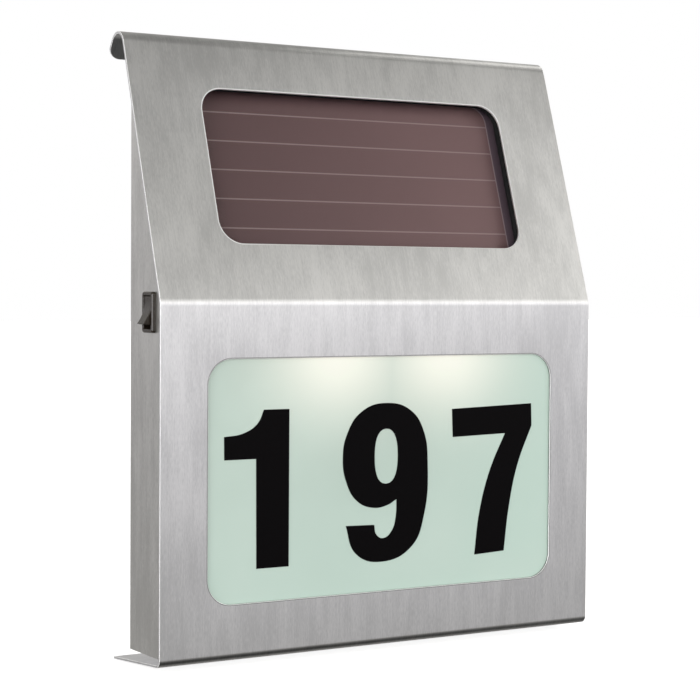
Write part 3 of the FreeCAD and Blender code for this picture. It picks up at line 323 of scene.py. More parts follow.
background = sky.node("ShaderNodeBackground", inputs=[tint, brightness])
sky.node("ShaderNodeOutputWorld", inputs={"Surface": background})
bpy.context.scene.view_settings.view_transform = "Standard"
print("studio painted in", len(bands), "bands")

# %% [markdown]
# The floor is plain and pale. It glows a little, so that it meets the white background
# without a line, and keeps only the faint shadow where the sign stands. Steel doesn't mirror
# it, because the photograph's floor was cut away.

# %% Floor
FLOOR_REACH = 6.0
SQUARE = ((-1, -1), (1, -1), (1, 1), (-1, 1))

floor_mesh = bpy.data.meshes.new("floor")
floor_z = cad_box[0][2] - 0.0002
floor_corners = [(x * FLOOR_REACH, y * FLOOR_REACH, floor_z) for x, y in SQUARE]
floor_mesh.from_pydata(floor_corners, [], [(0, 1, 2, 3)])
floor = bpy.data.objects.new("floor", floor_mesh)
bpy.context.scene.collection.objects.link(floor)
pale = Finish(bpy.data.materials.new("pale_floor"))
pale_tone = pale.mix(colour(236, 236, 236), colour(242, 242, 242), pale.noise(pale.place(), 3.0))
floor_mesh.materials.append(pale.surface({"Base Color": pale_tone, "Roughness": 0.9,
                                          "Emission Color": grey(0.8), "Emission Strength": 1.0}))
floor.visible_glossy = False
floor.visible_diffuse = False
print("floor at", round(floor_z, 4))

# %% [markdown]
# The solar window's edge was deburred. A painted highlight, a near-white band on its rim
# where the rim faces the light, stands in for the light that the rim catches. A painted shadow
# line runs round the number window, for the shade where the sheet ends over the pane. Both are
# masks of the distance from a rounded outline: how far a point is past the corner's centre in
# each direction, and then the length of the two together, less the corner's radius.


# %% Painted highlight and shadow lines round the windows
HIGHLIGHT_FADE = (0.35, 0.62)
SHADOW_LINE_FADE = (0.34, 0.58)


def past_corner(side, end):
    """Length of two distances, each counted only where it is above zero."""
    side, end = side.maths("MAXIMUM", 0.0), end.maths("MAXIMUM", 0.0)
    return (side * side + end * end).maths("SQRT")


def past_window(x, up, window):
    """Distance from a window's cut edge, outward, in millimetres."""
    half, low, high, corner = window
    end = abs(up - (low + high) / 2) - ((high - low) / 2 - corner)
    return past_corner(abs(x) - (half - corner), end) - corner


def painted_window_lines(steel, place):
    """Masks of the painted highlight on the solar window's rim and of the painted shadow line round the
    number window.
    """
    x, y, z = steel.axes(place)
    across = x * 1000
    height = (z - FOOT_Z) * 1000
    up_slope = (height - CREASE) / math.cos(LEAN)
    # The rim is a painted highlight, kept to the side that faces the light. The line round the number window
    # is a painted shadow.
    rim = 1 - steel.between(past_window(across, up_slope, SOLAR_WINDOW), *HIGHLIGHT_FADE)
    lit = steel.between(up_slope - 55.0 - across * 0.5, -20.0, 5.0)
    line = 1 - steel.between(past_window(across, height, NUMBER_WINDOW), *SHADOW_LINE_FADE)
    leaning = steel.between(height, CREASE - 1.0, CREASE)
    return rim * lit * leaning, line * (1 - leaning)


print("masks for the windows of", 2 * SOLAR_WINDOW[0], "and", 2 * NUMBER_WINDOW[0], "mm")

# %% [markdown]
# The sheet is stainless steel with a fine vertical grain. Grain is noise that is squeezed
# across the brushing and stretched along it. It moves the roughness and a very low bump, and
# broader noise adds the faint upright clouds that a rolled sheet has. The grain is upright on
# the cheeks too, so it is squeezed along X on the front and along Y on them.


# %% Brushed steel
def brushed_steel(name, across, light, dark, windows=False):
    """Steel whose grain is squeezed along X or Y, as across says, and stretched upward."""
    steel = Finish(bpy.data.materials.new(name))
    place = steel.place()
    fine = steel.noise(place * (across[0] * 2600, across[1] * 2600, 500.0), 1.0, 3.0)
    long = steel.noise(place * (across[0] * 1200, across[1] * 1200, 70.0), 1.0, 2.0)
    clouds = steel.noise(place * (1.0, 1.0, 0.5), 24.0, 4.0)
    blotches = steel.noise(place * (1.5, 1.5, 0.3), 120.0, 3.0)
    grain = fine * 0.65 + long * 0.35
    mottle = grain * 0.46 + clouds * 0.28 + blotches * 0.26
    tone = steel.mix(dark, light, steel.between(mottle, 0.39, 0.61))
    metal = 1.0
    if windows:
        # Painted light: a near-white painted highlight on the solar window's rim, and a dark painted shadow
        # line round the number window.
        bright, dim = painted_window_lines(steel, place)
        tone = steel.mix(steel.mix(tone, (0.95, 0.95, 0.94, 1.0), bright), grey(0.12), dim * 0.8)
        metal = 1 - bright * 0.75
    return steel.surface({
        "Base Color": tone,
        "Metallic": metal,
        "Roughness": grain * 0.06 + clouds * 0.08 + 0.27,
        "Anisotropic": 0.4,
        "Normal": steel.bump(grain, 0.06, 0.0001),
    })


cover_steel = brushed_steel("cover_steel", (1, 0), (0.73, 0.725, 0.72, 1.0),
                            (0.58, 0.578, 0.576, 1.0), windows=True)
cheek_steel = brushed_steel("cheek_steel", (0, 1), (0.71, 0.70, 0.665, 1.0), (0.54, 0.532, 0.503, 1.0))
print("two steels, with the grain upright on both")

# %% [markdown]
# The front is one folded sheet. A factory cuts it flat, with its windows, and then folds it,
# and the mesh is made the same way: a flat blank with a row of points at every step of a
# bend, cut while it is flat, and then wrapped along the side profile. Flat cuts are exact,
# and the windows can't pull the bends out of shape.

# %% The cover's side profile
FLANGE = 40.6
SLOPE = 104.6
LIP = 8.3
FOOT_RADIUS, CREASE_RADIUS, HOOK_RADIUS = 3.2, 9.0, 6.0
DROOP = math.radians(4.3)
FALL = math.radians(53.5)
BEND_STEP = 5


def folded_profile():
    """The sheet's outer side line as (length, (y, z), (inward y, z)) from the flange to the lip."""
    hook_run = HOOK_RADIUS * math.tan((math.pi / 2 - LEAN + FALL) / 2)
    flange_end = Vector((math.cos(DROOP), -math.sin(DROOP))) * FLANGE
    crease = Vector((0.0, CREASE))
    hook = crease + Vector((math.sin(LEAN), math.cos(LEAN))) * (SLOPE + hook_run)
    lip = hook + Vector((math.cos(FALL), -math.sin(FALL))) * (hook_run + LIP)
    corners = [Vector((0.0, 0.0)), crease, hook, lip]
    stations = []
    travelled = 0.0
    start = flange_end
    for corner, following, radius in zip(corners, corners[1:] + [None],
                                         (FOOT_RADIUS, CREASE_RADIUS, HOOK_RADIUS, 0.0)):
        heading = (corner - start).normalized()
        inward = Vector((heading.y, -heading.x))
        end = corner
        if following is not None:
            leaving = (following - corner).normalized()
            turn = math.acos(max(-1.0, min(1.0, heading.dot(leaving))))
            end = corner - heading * (radius * math.tan(turn / 2))
        stations.append((travelled, start.copy(), inward))
        travelled += (end - start).length
        stations.append((travelled, end.copy(), inward))
        if following is None:
            break
        centre = end + inward * radius
        steps = max(3, round(math.degrees(turn) / BEND_STEP))
        for step in range(1, steps + 1):
            angle = turn * step / steps
            arm = inward * -radius
            swung = Vector((arm.x * math.cos(angle) + arm.y * math.sin(angle),
                            arm.y * math.cos(angle) - arm.x * math.sin(angle)))
            stations.append((travelled + radius * angle, centre + swung, -swung / radius))
        travelled += radius * turn
        start = stations.pop()[1]
    return stations


profile = folded_profile()
print(len(profile), "stations, sheet length", round(profile[-1][0], 1), "mm")

# %% [markdown]
# The blank is a strip of faces, one for each pair of stations, on both sides of the sheet.
# The two free corners of the hook's lip are rounded with a bevel of the blank's own edges.
# Windows and holes are cut with a boolean, whose cutters are rounded blocks.


# %% The flat blank
LIP_CORNER = 0.0051


def finished(name, shape):
    """The mesh of a bmesh that isn't needed any more."""
    mesh = bpy.data.meshes.new(name)
    shape.to_mesh(mesh)
    shape.free()
    return mesh


def join_loops(shape, loops):
    """Joins each ring of points to the next. A ring of one point becomes a tip."""
    for lower, upper in zip(loops, loops[1:]):
        for n in range(max(len(lower), len(upper))):
            corners = (lower[n % len(lower)], lower[(n + 1) % len(lower)],
                       upper[(n + 1) % len(upper)], upper[n % len(upper)])
            shape.faces.new(list(dict.fromkeys(corners)))


def flat_blank():
    """The unfolded sheet in metres: X across, Y along the profile, Z through the sheet."""
    blank = bmesh.new()
    lengths = [station[0] / 1000 for station in profile]
    grid = [[blank.verts.new((x / 1000, length, z / 1000)) for x, z in
             ((-HALF, 0.0), (HALF, 0.0), (HALF, SHEET), (-HALF, SHEET))] for length in lengths]
    join_loops(blank, grid)
    blank.faces.new(grid[0][::-1])
    blank.faces.new(grid[-1])
    bmesh.ops.recalc_face_normals(blank, faces=blank.faces)
    end = lengths[-1]
    corners = [edge for edge in blank.edges
               if all(abs(vert.co.y - end) < 1e-7 for vert in edge.verts)
               and abs(edge.verts[0].co.x - edge.verts[1].co.x) < 1e-7]
    bmesh.ops.bevel(blank, geom=corners, offset=LIP_CORNER, segments=10, profile=0.5, affect="EDGES")
    return finished("blank", blank)


def rounded_outline(half, low_end, high_end, radius, steps=12):
    """A rounded rectangle in millimetres, counter-clockwise."""
    right, left, high, low = half - radius, radius - half, high_end - radius, low_end + radius
    points = []
    for cx, cy, start in ((right, high, 0), (left, high, 90), (left, low, 180), (right, low, 270)):
        for step in range(steps + 1):
            angle = math.radians(start + 90 * step / steps)
            points.append((cx + radius * math.cos(angle), cy + radius * math.sin(angle)))
    return points


def prism(shape, outline, z0, z1):
    """Adds a closed prism on an outline to a bmesh."""
    rings = [[shape.verts.new((x / 1000, y / 1000, z / 1000)) for x, y in outline] for z in (z0, z1)]
    shape.faces.new(rings[0][::-1])
    shape.faces.new(rings[1])
    join_loops(shape, rings)


def new_piece(name, mesh):
    piece = bpy.data.objects.new(name, mesh)
    bpy.context.scene.collection.objects.link(piece)
    return piece


def evaluated_mesh(piece):
    """The mesh as its modifiers leave it."""
    view = bpy.context.evaluated_depsgraph_get()
    return bpy.data.meshes.new_from_object(piece.evaluated_get(view))


print("the blank will have", len(profile), "rows of points")

# %% [markdown]
# Along the sheet a fold uses up less length than its two sharp sides, so each window's place
# is measured from the first station of the straight run that it is in. The flange gets its
# two fixing holes from the same cut.


# %% Windows and holes
HOLE_RADIUS = 2.25
HOLE_SIDE = 60
HOLE_TO_EDGE = 5.0
CUT_FROM, CUT_TO = -2, 3


def along(measure, leaning):
    """Length along the sheet of a height on the upright face, or of a distance up the slope."""
    if not leaning:
        length, point, inward = next(item for item in profile if item[1].x < 0.01 and item[1].y > 2.0)
        return length + measure - point.y
    length, point, inward = next(item for item in profile
                                 if item[1].y > CREASE and abs(item[2].y + math.sin(LEAN)) < 1e-4)
    reached = (point - Vector((0.0, CREASE))).dot(Vector((math.sin(LEAN), math.cos(LEAN))))
    return length + measure - reached


def cutters():
    shape = bmesh.new()
    for (half, low, high, corner), leaning in ((NUMBER_WINDOW, False), (SOLAR_WINDOW, True)):
        outline = rounded_outline(half, along(low, leaning), along(high, leaning), corner)
        prism(shape, outline, CUT_FROM, CUT_TO)
    for side in (-HOLE_SIDE, HOLE_SIDE):
        turns = [math.radians(angle) for angle in range(0, 360, 10)]
        ring = [(side + HOLE_RADIUS * math.cos(turn), HOLE_TO_EDGE + HOLE_RADIUS * math.sin(turn))
                for turn in turns]
        prism(shape, ring, CUT_FROM, CUT_TO)
    return new_piece("cutters", finished("cutters", shape))


blank = new_piece("blank", flat_blank())
tools = cutters()
cut = blank.modifiers.new("windows", "BOOLEAN")
cut.object = tools
cut.solver = "EXACT"
sheet_mesh = evaluated_mesh(blank)
for helper in (blank, tools):
    bpy.data.objects.remove(helper)
print("flat blank cut:", len(sheet_mesh.polygons), "faces")

# %% [markdown]
# Wrapping is a plain move of each point: its length along the blank picks a place between two
# stations, and its depth through the sheet goes along the inward direction there.


# %% Folding the blank
def folded(length, depth):
    """Side view point, in millimetres, of a length and a depth in the blank."""
    for (l0, p0, n0), (l1, p1, n1) in zip(profile, profile[1:]):
        if length <= l1 + 1e-6:
            share = 0.0 if l1 - l0 < 1e-9 else min(1.0, max(0.0, (length - l0) / (l1 - l0)))
            return p0.lerp(p1, share) + n0.lerp(n1, share) * depth
    return profile[-1][1] + profile[-1][2] * depth


for face in sheet_mesh.polygons:
    face.material_index = 1 if abs(face.normal.z) < 0.5 else (0 if face.normal.z < 0 else 3)
for vert in sheet_mesh.vertices:
    side = folded(vert.co.y * 1000, vert.co.z * 1000)
    vert.co = at(vert.co.x * 1000, side.x, side.y)
sheet_mesh.name = "folded_cover"
sheet_mesh.shade_smooth()
sheet_mesh.set_sharp_from_angle(angle=math.radians(30))
print("cover folded:", len(sheet_mesh.vertices), "points")

# %% [markdown]
# The sheet has four surfaces: the brushed face, the torn walls of the cuts, the small round
# that the modifier adds between the two, and the back, which has painted shade inside the hook
# and a painted shadow where the housing shades the flange. Slot numbers were given while the
# blank was flat, when a face's normal still told them apart.


# %% The sheet's other surfaces
def soften(piece, width, angle=40, weld=False, segments=2):
    """Rounds a piece's sharp edges a little, so that they catch light."""
    if weld:
        join = piece.modifiers.new("weld", "WELD")
        join.merge_threshold = 0.00001
    edge_bevel = piece.modifiers.new("soft_edges", "BEVEL")
    edge_bevel.width = width / 1000
    edge_bevel.segments = segments
    edge_bevel.limit_method = "ANGLE"
    edge_bevel.angle_limit = math.radians(angle)
    edge_bevel.harden_normals = True
    edge_bevel.miter_outer = "MITER_ARC"


def cut_edge_steel():
    """The finely torn metal where the sheet was cut, which spreads light like paint."""
    steel = Finish(bpy.data.materials.new("cut_edge_steel"))
    torn = steel.noise(steel.place(), 1400.0, 3.0)
    tone = steel.mix((0.70, 0.70, 0.69, 1.0), (0.94, 0.94, 0.93, 1.0), torn)
    return steel.surface({"Base Color": tone, "Metallic": torn * 0.2 + 0.15,
                          "Roughness": torn * 0.12 + 0.34})


def burnished_steel():
    """The tumbled round between a cut and the face, smoother than both."""
    steel = Finish(bpy.data.materials.new("burnished_steel"))
    rub = steel.noise(steel.place(), 300.0, 3.0)
    tone = steel.mix((0.90, 0.90, 0.89, 1.0), (0.98, 0.98, 0.97, 1.0), rub)
    return steel.surface({"Base Color": tone, "Metallic": 0.35, "Roughness": rub * 0.08 + 0.30})


def back_steel():
    """The sheet's back: bright at the flange's free edge, with a painted shadow where the housing shades it
    and painted shade inside the hook.
    """
    steel = Finish(bpy.data.materials.new("back_steel"))
    place = steel.place()
    x, y, z = steel.axes(place)
    shade_mottle = steel.noise(place, 700.0, 4.0)
    cloud = steel.noise(place, 60.0, 2.0)
    plain = steel.mix((0.60, 0.595, 0.58, 1.0), (0.72, 0.715, 0.70, 1.0), cloud)
    # Painted shadow: where the housing stands over the flange, a dark mottled tone stands in for its shadow.
    housing_shadow_tone = steel.mix((0.10, 0.098, 0.09, 1.0), (0.42, 0.415, 0.40, 1.0),
                     steel.between(shade_mottle * 0.6 + cloud * 0.4, 0.40, 0.66))
    # Painted shade: inside the hook the back is painted near black, for the shade in there.
    hook_shade_tone = steel.mix((0.012, 0.010, 0.006, 1.0), (0.10, 0.09, 0.06, 1.0),
                      steel.between(shade_mottle, 0.46, 0.74))
    shaded = 1 - steel.between(y + shade_mottle * 0.004, at(0, 25, 0).y, at(0, 30, 0).y)
    hooked = steel.between(z, at(0, 0, 205).z, at(0, 0, 216).z)
    tone = steel.mix(steel.mix(plain, housing_shadow_tone, shaded), hook_shade_tone, hooked)
    # Both painted shades also turn the steel dull and non-metallic there, so that they stay dark.
    painted_shade = shaded.maths("MAXIMUM", hooked)
    return steel.surface({"Base Color": tone, "Metallic": 1.0 - painted_shade * 0.9, "Specular IOR Level": 0.0,
                          "Roughness": cloud * 0.10 + painted_shade * 0.40 + 0.28})


sheet_mesh.materials.clear()
for finish in (cover_steel, cut_edge_steel(), burnished_steel(), back_steel()):
    sheet_mesh.materials.append(finish)
cover = new_piece("folded_cover", sheet_mesh)
soften(cover, 0.22, segments=3)
cover.modifiers["soft_edges"].material = 2
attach(cover, "sign")
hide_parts("front_cover")
print("cover with", len(sheet_mesh.materials), "surfaces")

# %% [markdown]
# The window behind the sheet is a pane of opal acrylic, lit from two lamps above it. Opal
# spreads light so evenly that a soft glow on the surface looks right, with two warmer and
# brighter spots at the top edge. The pane's edge is polished, so its corners get a soft edge.


# %% Opal pane
PANE_FACE, PANE_BACK = 1.5, 4.5
LAMP_MIDDLE = 0.0025
LAMP_SIDE = 0.0254
GLOW_WIDTH = 0.0290
GLOW_HEIGHT = 0.0225


def rounded_plate(name, half, low, high, corner, front, back, carry=at):
    """A plate with rounded corners, carried to its place by a function of X, depth and height."""
    shape = bmesh.new()
    prism(shape, rounded_outline(half, low, high, corner), front, back)
    mesh = finished(name, shape)
    for vert in mesh.vertices:
        x, up, depth = (value * 1000 for value in vert.co)
        vert.co = carry(x, depth, up)
    mesh.flip_normals()
    return new_piece(name, mesh)


def opal_acrylic():
    opal = Finish(bpy.data.materials.new("opal_acrylic"))
    place = opal.place()
    x, y, z = opal.axes(place)
    beside = (abs(x - LAMP_MIDDLE) - LAMP_SIDE) / GLOW_WIDTH
    below = (at(0, 0, NUMBER_WINDOW[2]).z - z) / GLOW_HEIGHT
    spot = ((beside ** 2.0 + below ** 2.0) * -1).maths("EXPONENT")
    low_part = opal.between(z, at(0, 0, 100).z, at(0, 0, 20).z)
    clouds = opal.noise(place, 22.0, 3.0)
    glow = opal.mix(colour(118, 126, 119), colour(125, 139, 131), low_part)
    glow = opal.mix(glow, colour(129, 146, 137), opal.between(x, 0.0, 0.09) * 0.8)
    glow = opal.mix(glow, colour(130, 140, 133), opal.between(clouds, 0.40, 0.75) * 0.7)
    glow = opal.mix(glow, colour(208, 198, 187), spot)
    return opal.surface({
        "Base Color": opal.mix(colour(164, 182, 172), colour(174, 192, 182), clouds),
        "Roughness": clouds * 0.05 + 0.20,
        "Emission Color": glow,
        "Emission Strength": 1.0,
        "IOR": 1.49,
    })


pane = rounded_plate("opal_pane", half=85.5, low=PANE_LOW, high=120.0, corner=3.0,
                     front=PANE_FACE, back=PANE_BACK)
pane.data.materials.append(opal_acrylic())
soften(pane, 0.3)
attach(pane, "sign")
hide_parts("number_window")
print("pane", [round(v * 1000, 1) for v in pane.dimensions])

# %% [markdown]
# The numerals are cut from black vinyl film and stuck on the pane. Each outline is a list of
# (across, height, corner) points, with 1 where the film has a corner and 0 where it runs
# smoothly. It is drawn as a filled curve, a little thicker than the real film.

# %% Vinyl numerals
NUMERALS = {
    "numeral_one": [[(-58.5, 34.1, 1), (-44.4, 34.1, 1), (-44.4, 94.9, 1), (-55.5, 94.9, 1), (-58.1, 89.8, 0),
                     (-64.1, 86.2, 0), (-72.6, 85, 1), (-72.5, 76.2, 1), (-58.8, 76.2, 1)]],
    "numeral_nine": [[(-18.65, 48.1, 1), (-5.55, 47.8, 1), (-4.55, 43.9, 0), (-1, 42.3, 0), (2.95, 45.2, 0),
                      (4.65, 50.5, 0), (4.95, 57.6, 1), (0.65, 55.4, 0), (-6.05, 54.6, 0),
                      (-13.75, 57.8, 0), (-18.65, 65.7, 0), (-20.15, 74.4, 0),
                      (-18.35, 84, 0), (-11.55, 92.9, 0), (0.1, 96, 0), (11.65, 92.6, 0),
                      (17.75, 84, 0), (19.65, 71.1, 0), (18.05, 50.5, 0), (12.55, 38.5, 0), (-2.35, 32.9, 0),
                      (-14.15, 37, 0)],
                     [(-0.05, 85.8, 0), (5.45, 74.85, 0), (-0.05, 63.9, 0), (-5.55, 74.85, 0)]],
    "numeral_seven": [[(31.4, 92.75, 1), (71.1, 94, 1), (71.4, 84.8, 1), (64.3, 68.7, 0), (60.2, 52, 0),
                       (57.7, 33.4, 1), (43, 32.7, 1), (45.5, 50.6, 0), (50.5, 67.1, 0), (58, 82, 1),
                       (31.9, 81.3, 1)]],
}
FILM = 0.25
FILM_GAP = 0.01


def vinyl():
    film = Finish(bpy.data.materials.new("black_vinyl"))
    tooth = film.noise(film.place(), 900.0)
    return film.surface({"Base Color": film.mix(colour(5, 4, 5), colour(11, 8, 10), tooth),
                         "Specular IOR Level": 0.05, "Roughness": tooth * 0.10 + 0.34,
                         "Normal": film.bump(tooth, 0.05, 0.00005)})


black_vinyl = vinyl()


def numeral(name, outlines):
    curve = bpy.data.curves.new(name, "CURVE")
    curve.dimensions = "2D"
    curve.fill_mode = "BOTH"
    curve.extrude = FILM / 2
    curve.resolution_u = 8
    for outline in outlines:
        line = curve.splines.new("BEZIER")
        line.bezier_points.add(len(outline) - 1)
        for point, (x, z, corner) in zip(line.bezier_points, outline):
            point.co = (x, z, 0)
            point.handle_left_type = point.handle_right_type = "VECTOR" if corner else "AUTO"
        line.use_cyclic_u = True
    drawn = new_piece(name + "_line", curve)
    mesh = evaluated_mesh(drawn)
    bpy.data.objects.remove(drawn)
    for vert in mesh.vertices:
        vert.co = at(vert.co.x, PANE_FACE - FILM / 2 - FILM_GAP - vert.co.z, vert.co.y)
    mesh.materials.clear()
    mesh.materials.append(black_vinyl)
    digit = new_piece(name, mesh)
    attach(digit, "sign")
    return digit


for name, outlines in NUMERALS.items():
    print(name, [round(v * 1000, 1) for v in numeral(name, outlines).dimensions])

# %% [markdown]
# The solar panel is a glass plate with a thin film of cells on its back, which reads as brown
# purple with a fine light line between one cell and the next, and a thin light border with
# rounded upper corners. The glass is a clear layer whose gloss grows at shallow angles, so that
# the film behind it stays visible without the noise that true refraction would bring.


# %% Solar glass and cells
CELL_PITCH = 12.03
FIRST_LINE = 32.2
BORDER = 68.5
CORNER_X, CORNER_UP = 61.5, 82.3


def clear_glass():
    glass = Finish(bpy.data.materials.new("clear_glass"))
    smudge = glass.noise(glass.place(), 30.0)
    gloss = glass.node("ShaderNodeBsdfPrincipled", inputs={
        "Base Color": glass.mix(colour(6, 8, 8), colour(12, 14, 14), smudge),
        "Roughness": smudge * 0.03 + 0.02})
    clear = glass.node("ShaderNodeBsdfTransparent", inputs=[(0.965, 0.975, 0.972, 1.0)])
    slant = glass.node("ShaderNodeLayerWeight", inputs={"Blend": 0.5}, output="Facing")
    layer = glass.node("ShaderNodeMixShader", inputs=[slant ** 5.0 * 0.96 + 0.03, clear, gloss])
    glass.node("ShaderNodeOutputMaterial", inputs={"Surface": layer})
    return glass.owner


def thin_film():
    film = Finish(bpy.data.materials.new("thin_film_cells"))
    place = film.place()
    x, y, z = film.axes(place)
    start = slope_at(0, 0, 0)
    up_slope = ((z - start.z) * math.cos(LEAN) + (y - start.y) * math.sin(LEAN)) * 1000
    turn = ((up_slope - FIRST_LINE) / CELL_PITCH + 0.5).maths("FRACT") - 0.5
    line = 1 - film.between(abs(turn) * CELL_PITCH, 0.17, 0.38)
    reach = past_corner(abs(x) * 1000 - CORNER_X, up_slope - CORNER_UP) + CORNER_X
    rows = film.between(up_slope, 30.0, 31.0) * (1 - film.between(up_slope, 81.5, 82.5))
    inside = rows * (1 - film.between(reach, BORDER - 0.2, BORDER + 0.1))
    border = film.between(reach, BORDER - 0.2, BORDER)
    border = border * (1 - film.between(reach, BORDER + 0.3, BORDER + 0.5))
    # Painted reflection: the film's tone grows lighter from left to right, in place of the reflection that
    # brightens it on the right.
    across = film.between(x, -0.075, 0.075)
    cloud = film.noise(place, 14.0)
    body = film.mix(colour(110, 84, 86), colour(146, 113, 114), across * 0.75 + cloud * 0.25)
    body = film.mix(body, colour(116, 98, 108), film.between(reach, BORDER + 0.3, BORDER + 0.6))
    body = film.mix(body, colour(190, 166, 166), line * inside * 0.62)
    return film.surface({
        "Base Color": film.mix(body, colour(190, 172, 178), border * 0.7),
        "Roughness": cloud * 0.06 + 0.30,
        "Metallic": 0.2,
    })


solar_plate = rounded_plate("solar_glass_plate", half=74.6, low=19.9, high=90.7, corner=1.0,
                            front=4.5, back=6.96, carry=slope_at)
solar_plate.data.materials.append(clear_glass())
soften(solar_plate, 0.25)
solar_film = rounded_plate("solar_film", half=72.6, low=21.4, high=89.2, corner=1.0,
                           front=6.97, back=7.03, carry=slope_at)
solar_film.data.materials.append(thin_film())
for piece, node, slot in ((solar_plate, "solar_glass", "glass"),
                          (solar_film, "solar_cells", "cell_brown")):
    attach(piece, "sign")
    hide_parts(node)
print("glass", [round(v * 1000, 1) for v in solar_plate.dimensions])

# %% [markdown]
# One recipe serves all moulded plastics, foams and small metal parts: a colour that wanders a
# little, a fine texture for the roughness, and a shallow bump. Each part then only names its
# two tones and how smooth it is, so a foam and a gloss switch come from the same few lines.


# %% Plastics, foam and small metals
def moulded(name, dark, light, roughness, texture=420.0, strength=0.12, metallic=0.0):
    plastic = Finish(bpy.data.materials.new(name))
    place = plastic.place()
    tooth = plastic.noise(place, texture, 3.0)
    cloud = plastic.noise(place, 24.0)
    return plastic.surface({
        "Base Color": plastic.mix(colour(*dark), colour(*light), tooth * 0.5 + cloud * 0.5),
        "Roughness": tooth * 0.16 + cloud * 0.06 + roughness,
        "Metallic": metallic,
        "Normal": plastic.bump(tooth, strength, 0.0002),
    })


GLOSS_BLACK = moulded("gloss_black", (26, 21, 15), (64, 55, 44), 0.12, 1300.0, 0.45)
print("a recipe for plastics, foams and small metals")

# %% [markdown]
# The switch is a mini rocker that snaps into the left wall. Its case is built like a turned
# part with an oblong outline: one closed skin that runs up the neck, out under the rim, over
# the rim's chamfer and down into the well. Booleans would leave its corners hard.


# %% Switch case
CHEEK_FACE, SWITCH_DEPTH, SWITCH_HEIGHT = -98.0, 12.5, 132.0
CASE_RINGS = [(3.8, 6.7, 0.5, -9.8), (3.8, 6.7, 0.5, 0.0), (4.5, 7.7, 1.0, 0.0),
              (4.5, 7.7, 1.0, 1.05), (4.05, 7.25, 0.7, 1.6), (3.35, 6.4, 0.4, 1.6),
              (3.15, 6.2, 0.3, 1.3), (3.15, 6.2, 0.3, -4.6)]


def on_wall(depth, up, out):
    """A point beside the switch's middle: further back, up, and out of the left wall."""
    return at(CHEEK_FACE - out, SWITCH_DEPTH + depth, SWITCH_HEIGHT + up)


def capped(name, loops_of):
    """A closed skin through the rings of points that a function draws in a bmesh."""
    shape = bmesh.new()
    loops = loops_of(shape)
    join_loops(shape, loops)
    shape.faces.new(loops[0][::-1])
    shape.faces.new(loops[-1])
    bmesh.ops.recalc_face_normals(shape, faces=shape.faces)
    return new_piece(name, finished(name, shape))


def case_loops(shape):
    """Rounded outlines from (half width, half height, corner, distance out of the wall)."""
    return [[shape.verts.new(on_wall(depth, up, out))
             for depth, up in rounded_outline(half, -rise, rise, corner, 6)]
            for half, rise, corner, out in CASE_RINGS]


case = capped("switch_case", case_loops)
case.data.materials.append(GLOSS_BLACK)
soften(case, 0.14, 30)
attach(case, "sign")
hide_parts("switch_body")
print("switch case", [round(v * 1000, 1) for v in case.dimensions])

# %% [markdown]
# The paddle is a thick wedge with a dished face, and it rocks on a pivot in the well. Its
# side view is one closed line, drawn in the middle position and turned to where the
# photograph shows it. Rounded edges matter most here, as each one carries a small highlight.

# %% Switch paddle
THROW = math.radians(16)
PADDLE_HALF = 3.0
PIVOT_SINK = 0.2


def paddle_loops(shape):
    """The side view at both flanks, as (out of the wall, up) points turned by the throw."""
    marks = [n / 8 - 1 for n in range(17)]
    side_view = [(2.0 + 1.2 * n ** 2, 5.4 * n) for n in marks]
    side_view += [(-2.6 + 0.8 * n ** 2, 4.9 * n) for n in reversed(marks)]
    return [[shape.verts.new(on_wall(depth, rise * math.sin(THROW) + up * math.cos(THROW),
                                     rise * math.cos(THROW) - up * math.sin(THROW) - PIVOT_SINK))
             for rise, up in side_view] for depth in (-PADDLE_HALF, PADDLE_HALF)]


paddle = capped("switch_paddle", paddle_loops)
paddle.data.materials.append(GLOSS_BLACK)
soften(paddle, 0.35, 30, segments=3)
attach(paddle, "rocker")
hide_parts("switch_rocker")
print("switch paddle", [round(v * 1000, 1) for v in paddle.dimensions])

# %% [markdown]
# Screws and studs are turned parts, so each is a side profile spun round its axis. The
# finished part is then copied into one mesh at every place, which keeps identical screws
# identical, as they are out of the box.


# %% Turned parts
def spun_mesh(name, outline, sides, reach=lambda radius, angle: radius, ring_shaped=False):
    """A solid of revolution round Z from (radius, height) pairs in millimetres."""
    shape = bmesh.new()
    rings = []
    for radius, height in outline:
        turns = [math.tau * n / sides for n in range(sides)] if radius else [0.0]
        arms = [(reach(radius, turn) / 1000, turn) for turn in turns]
        rings.append([shape.verts.new((arm * math.cos(turn), arm * math.sin(turn), height / 1000))
                      for arm, turn in arms])
    join_loops(shape, rings + rings[:1] if ring_shaped else rings)
    bmesh.ops.recalc_face_normals(shape, faces=shape.faces)
    return finished(name, shape)


def everywhere(name, mesh, places, body, node):
    """One piece with a copy of a mesh at each place, where the mesh's Z points backward."""
    whole = bmesh.new()
    for origin, lean in places:
        backward = Vector((0, math.cos(lean), -math.sin(lean)))
        upright = Vector((0, math.sin(lean), math.cos(lean)))
        turn = Matrix((upright.cross(backward), upright, backward)).transposed().to_4x4()
        one = mesh.copy()
        one.transform(Matrix.Translation(origin) @ turn)
        whole.from_mesh(one)
        bpy.data.meshes.remove(one)
    joined = finished(name, whole)
    joined.materials.append(SCREW_STEEL)
    joined.shade_smooth()
    joined.set_sharp_from_angle(angle=math.radians(35))
    piece = new_piece(name, joined)
    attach(piece, body)
    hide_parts(node)
    print(len(places), name)


print("a small lathe for screws, studs and nuts")

# %% [markdown]
# The pan head has a flat rim, a domed top and a deep cross recess, which is cut with a
# boolean. Rear cover and battery door use the same head on shanks of different length, and
# their screws ride on two different bodies.

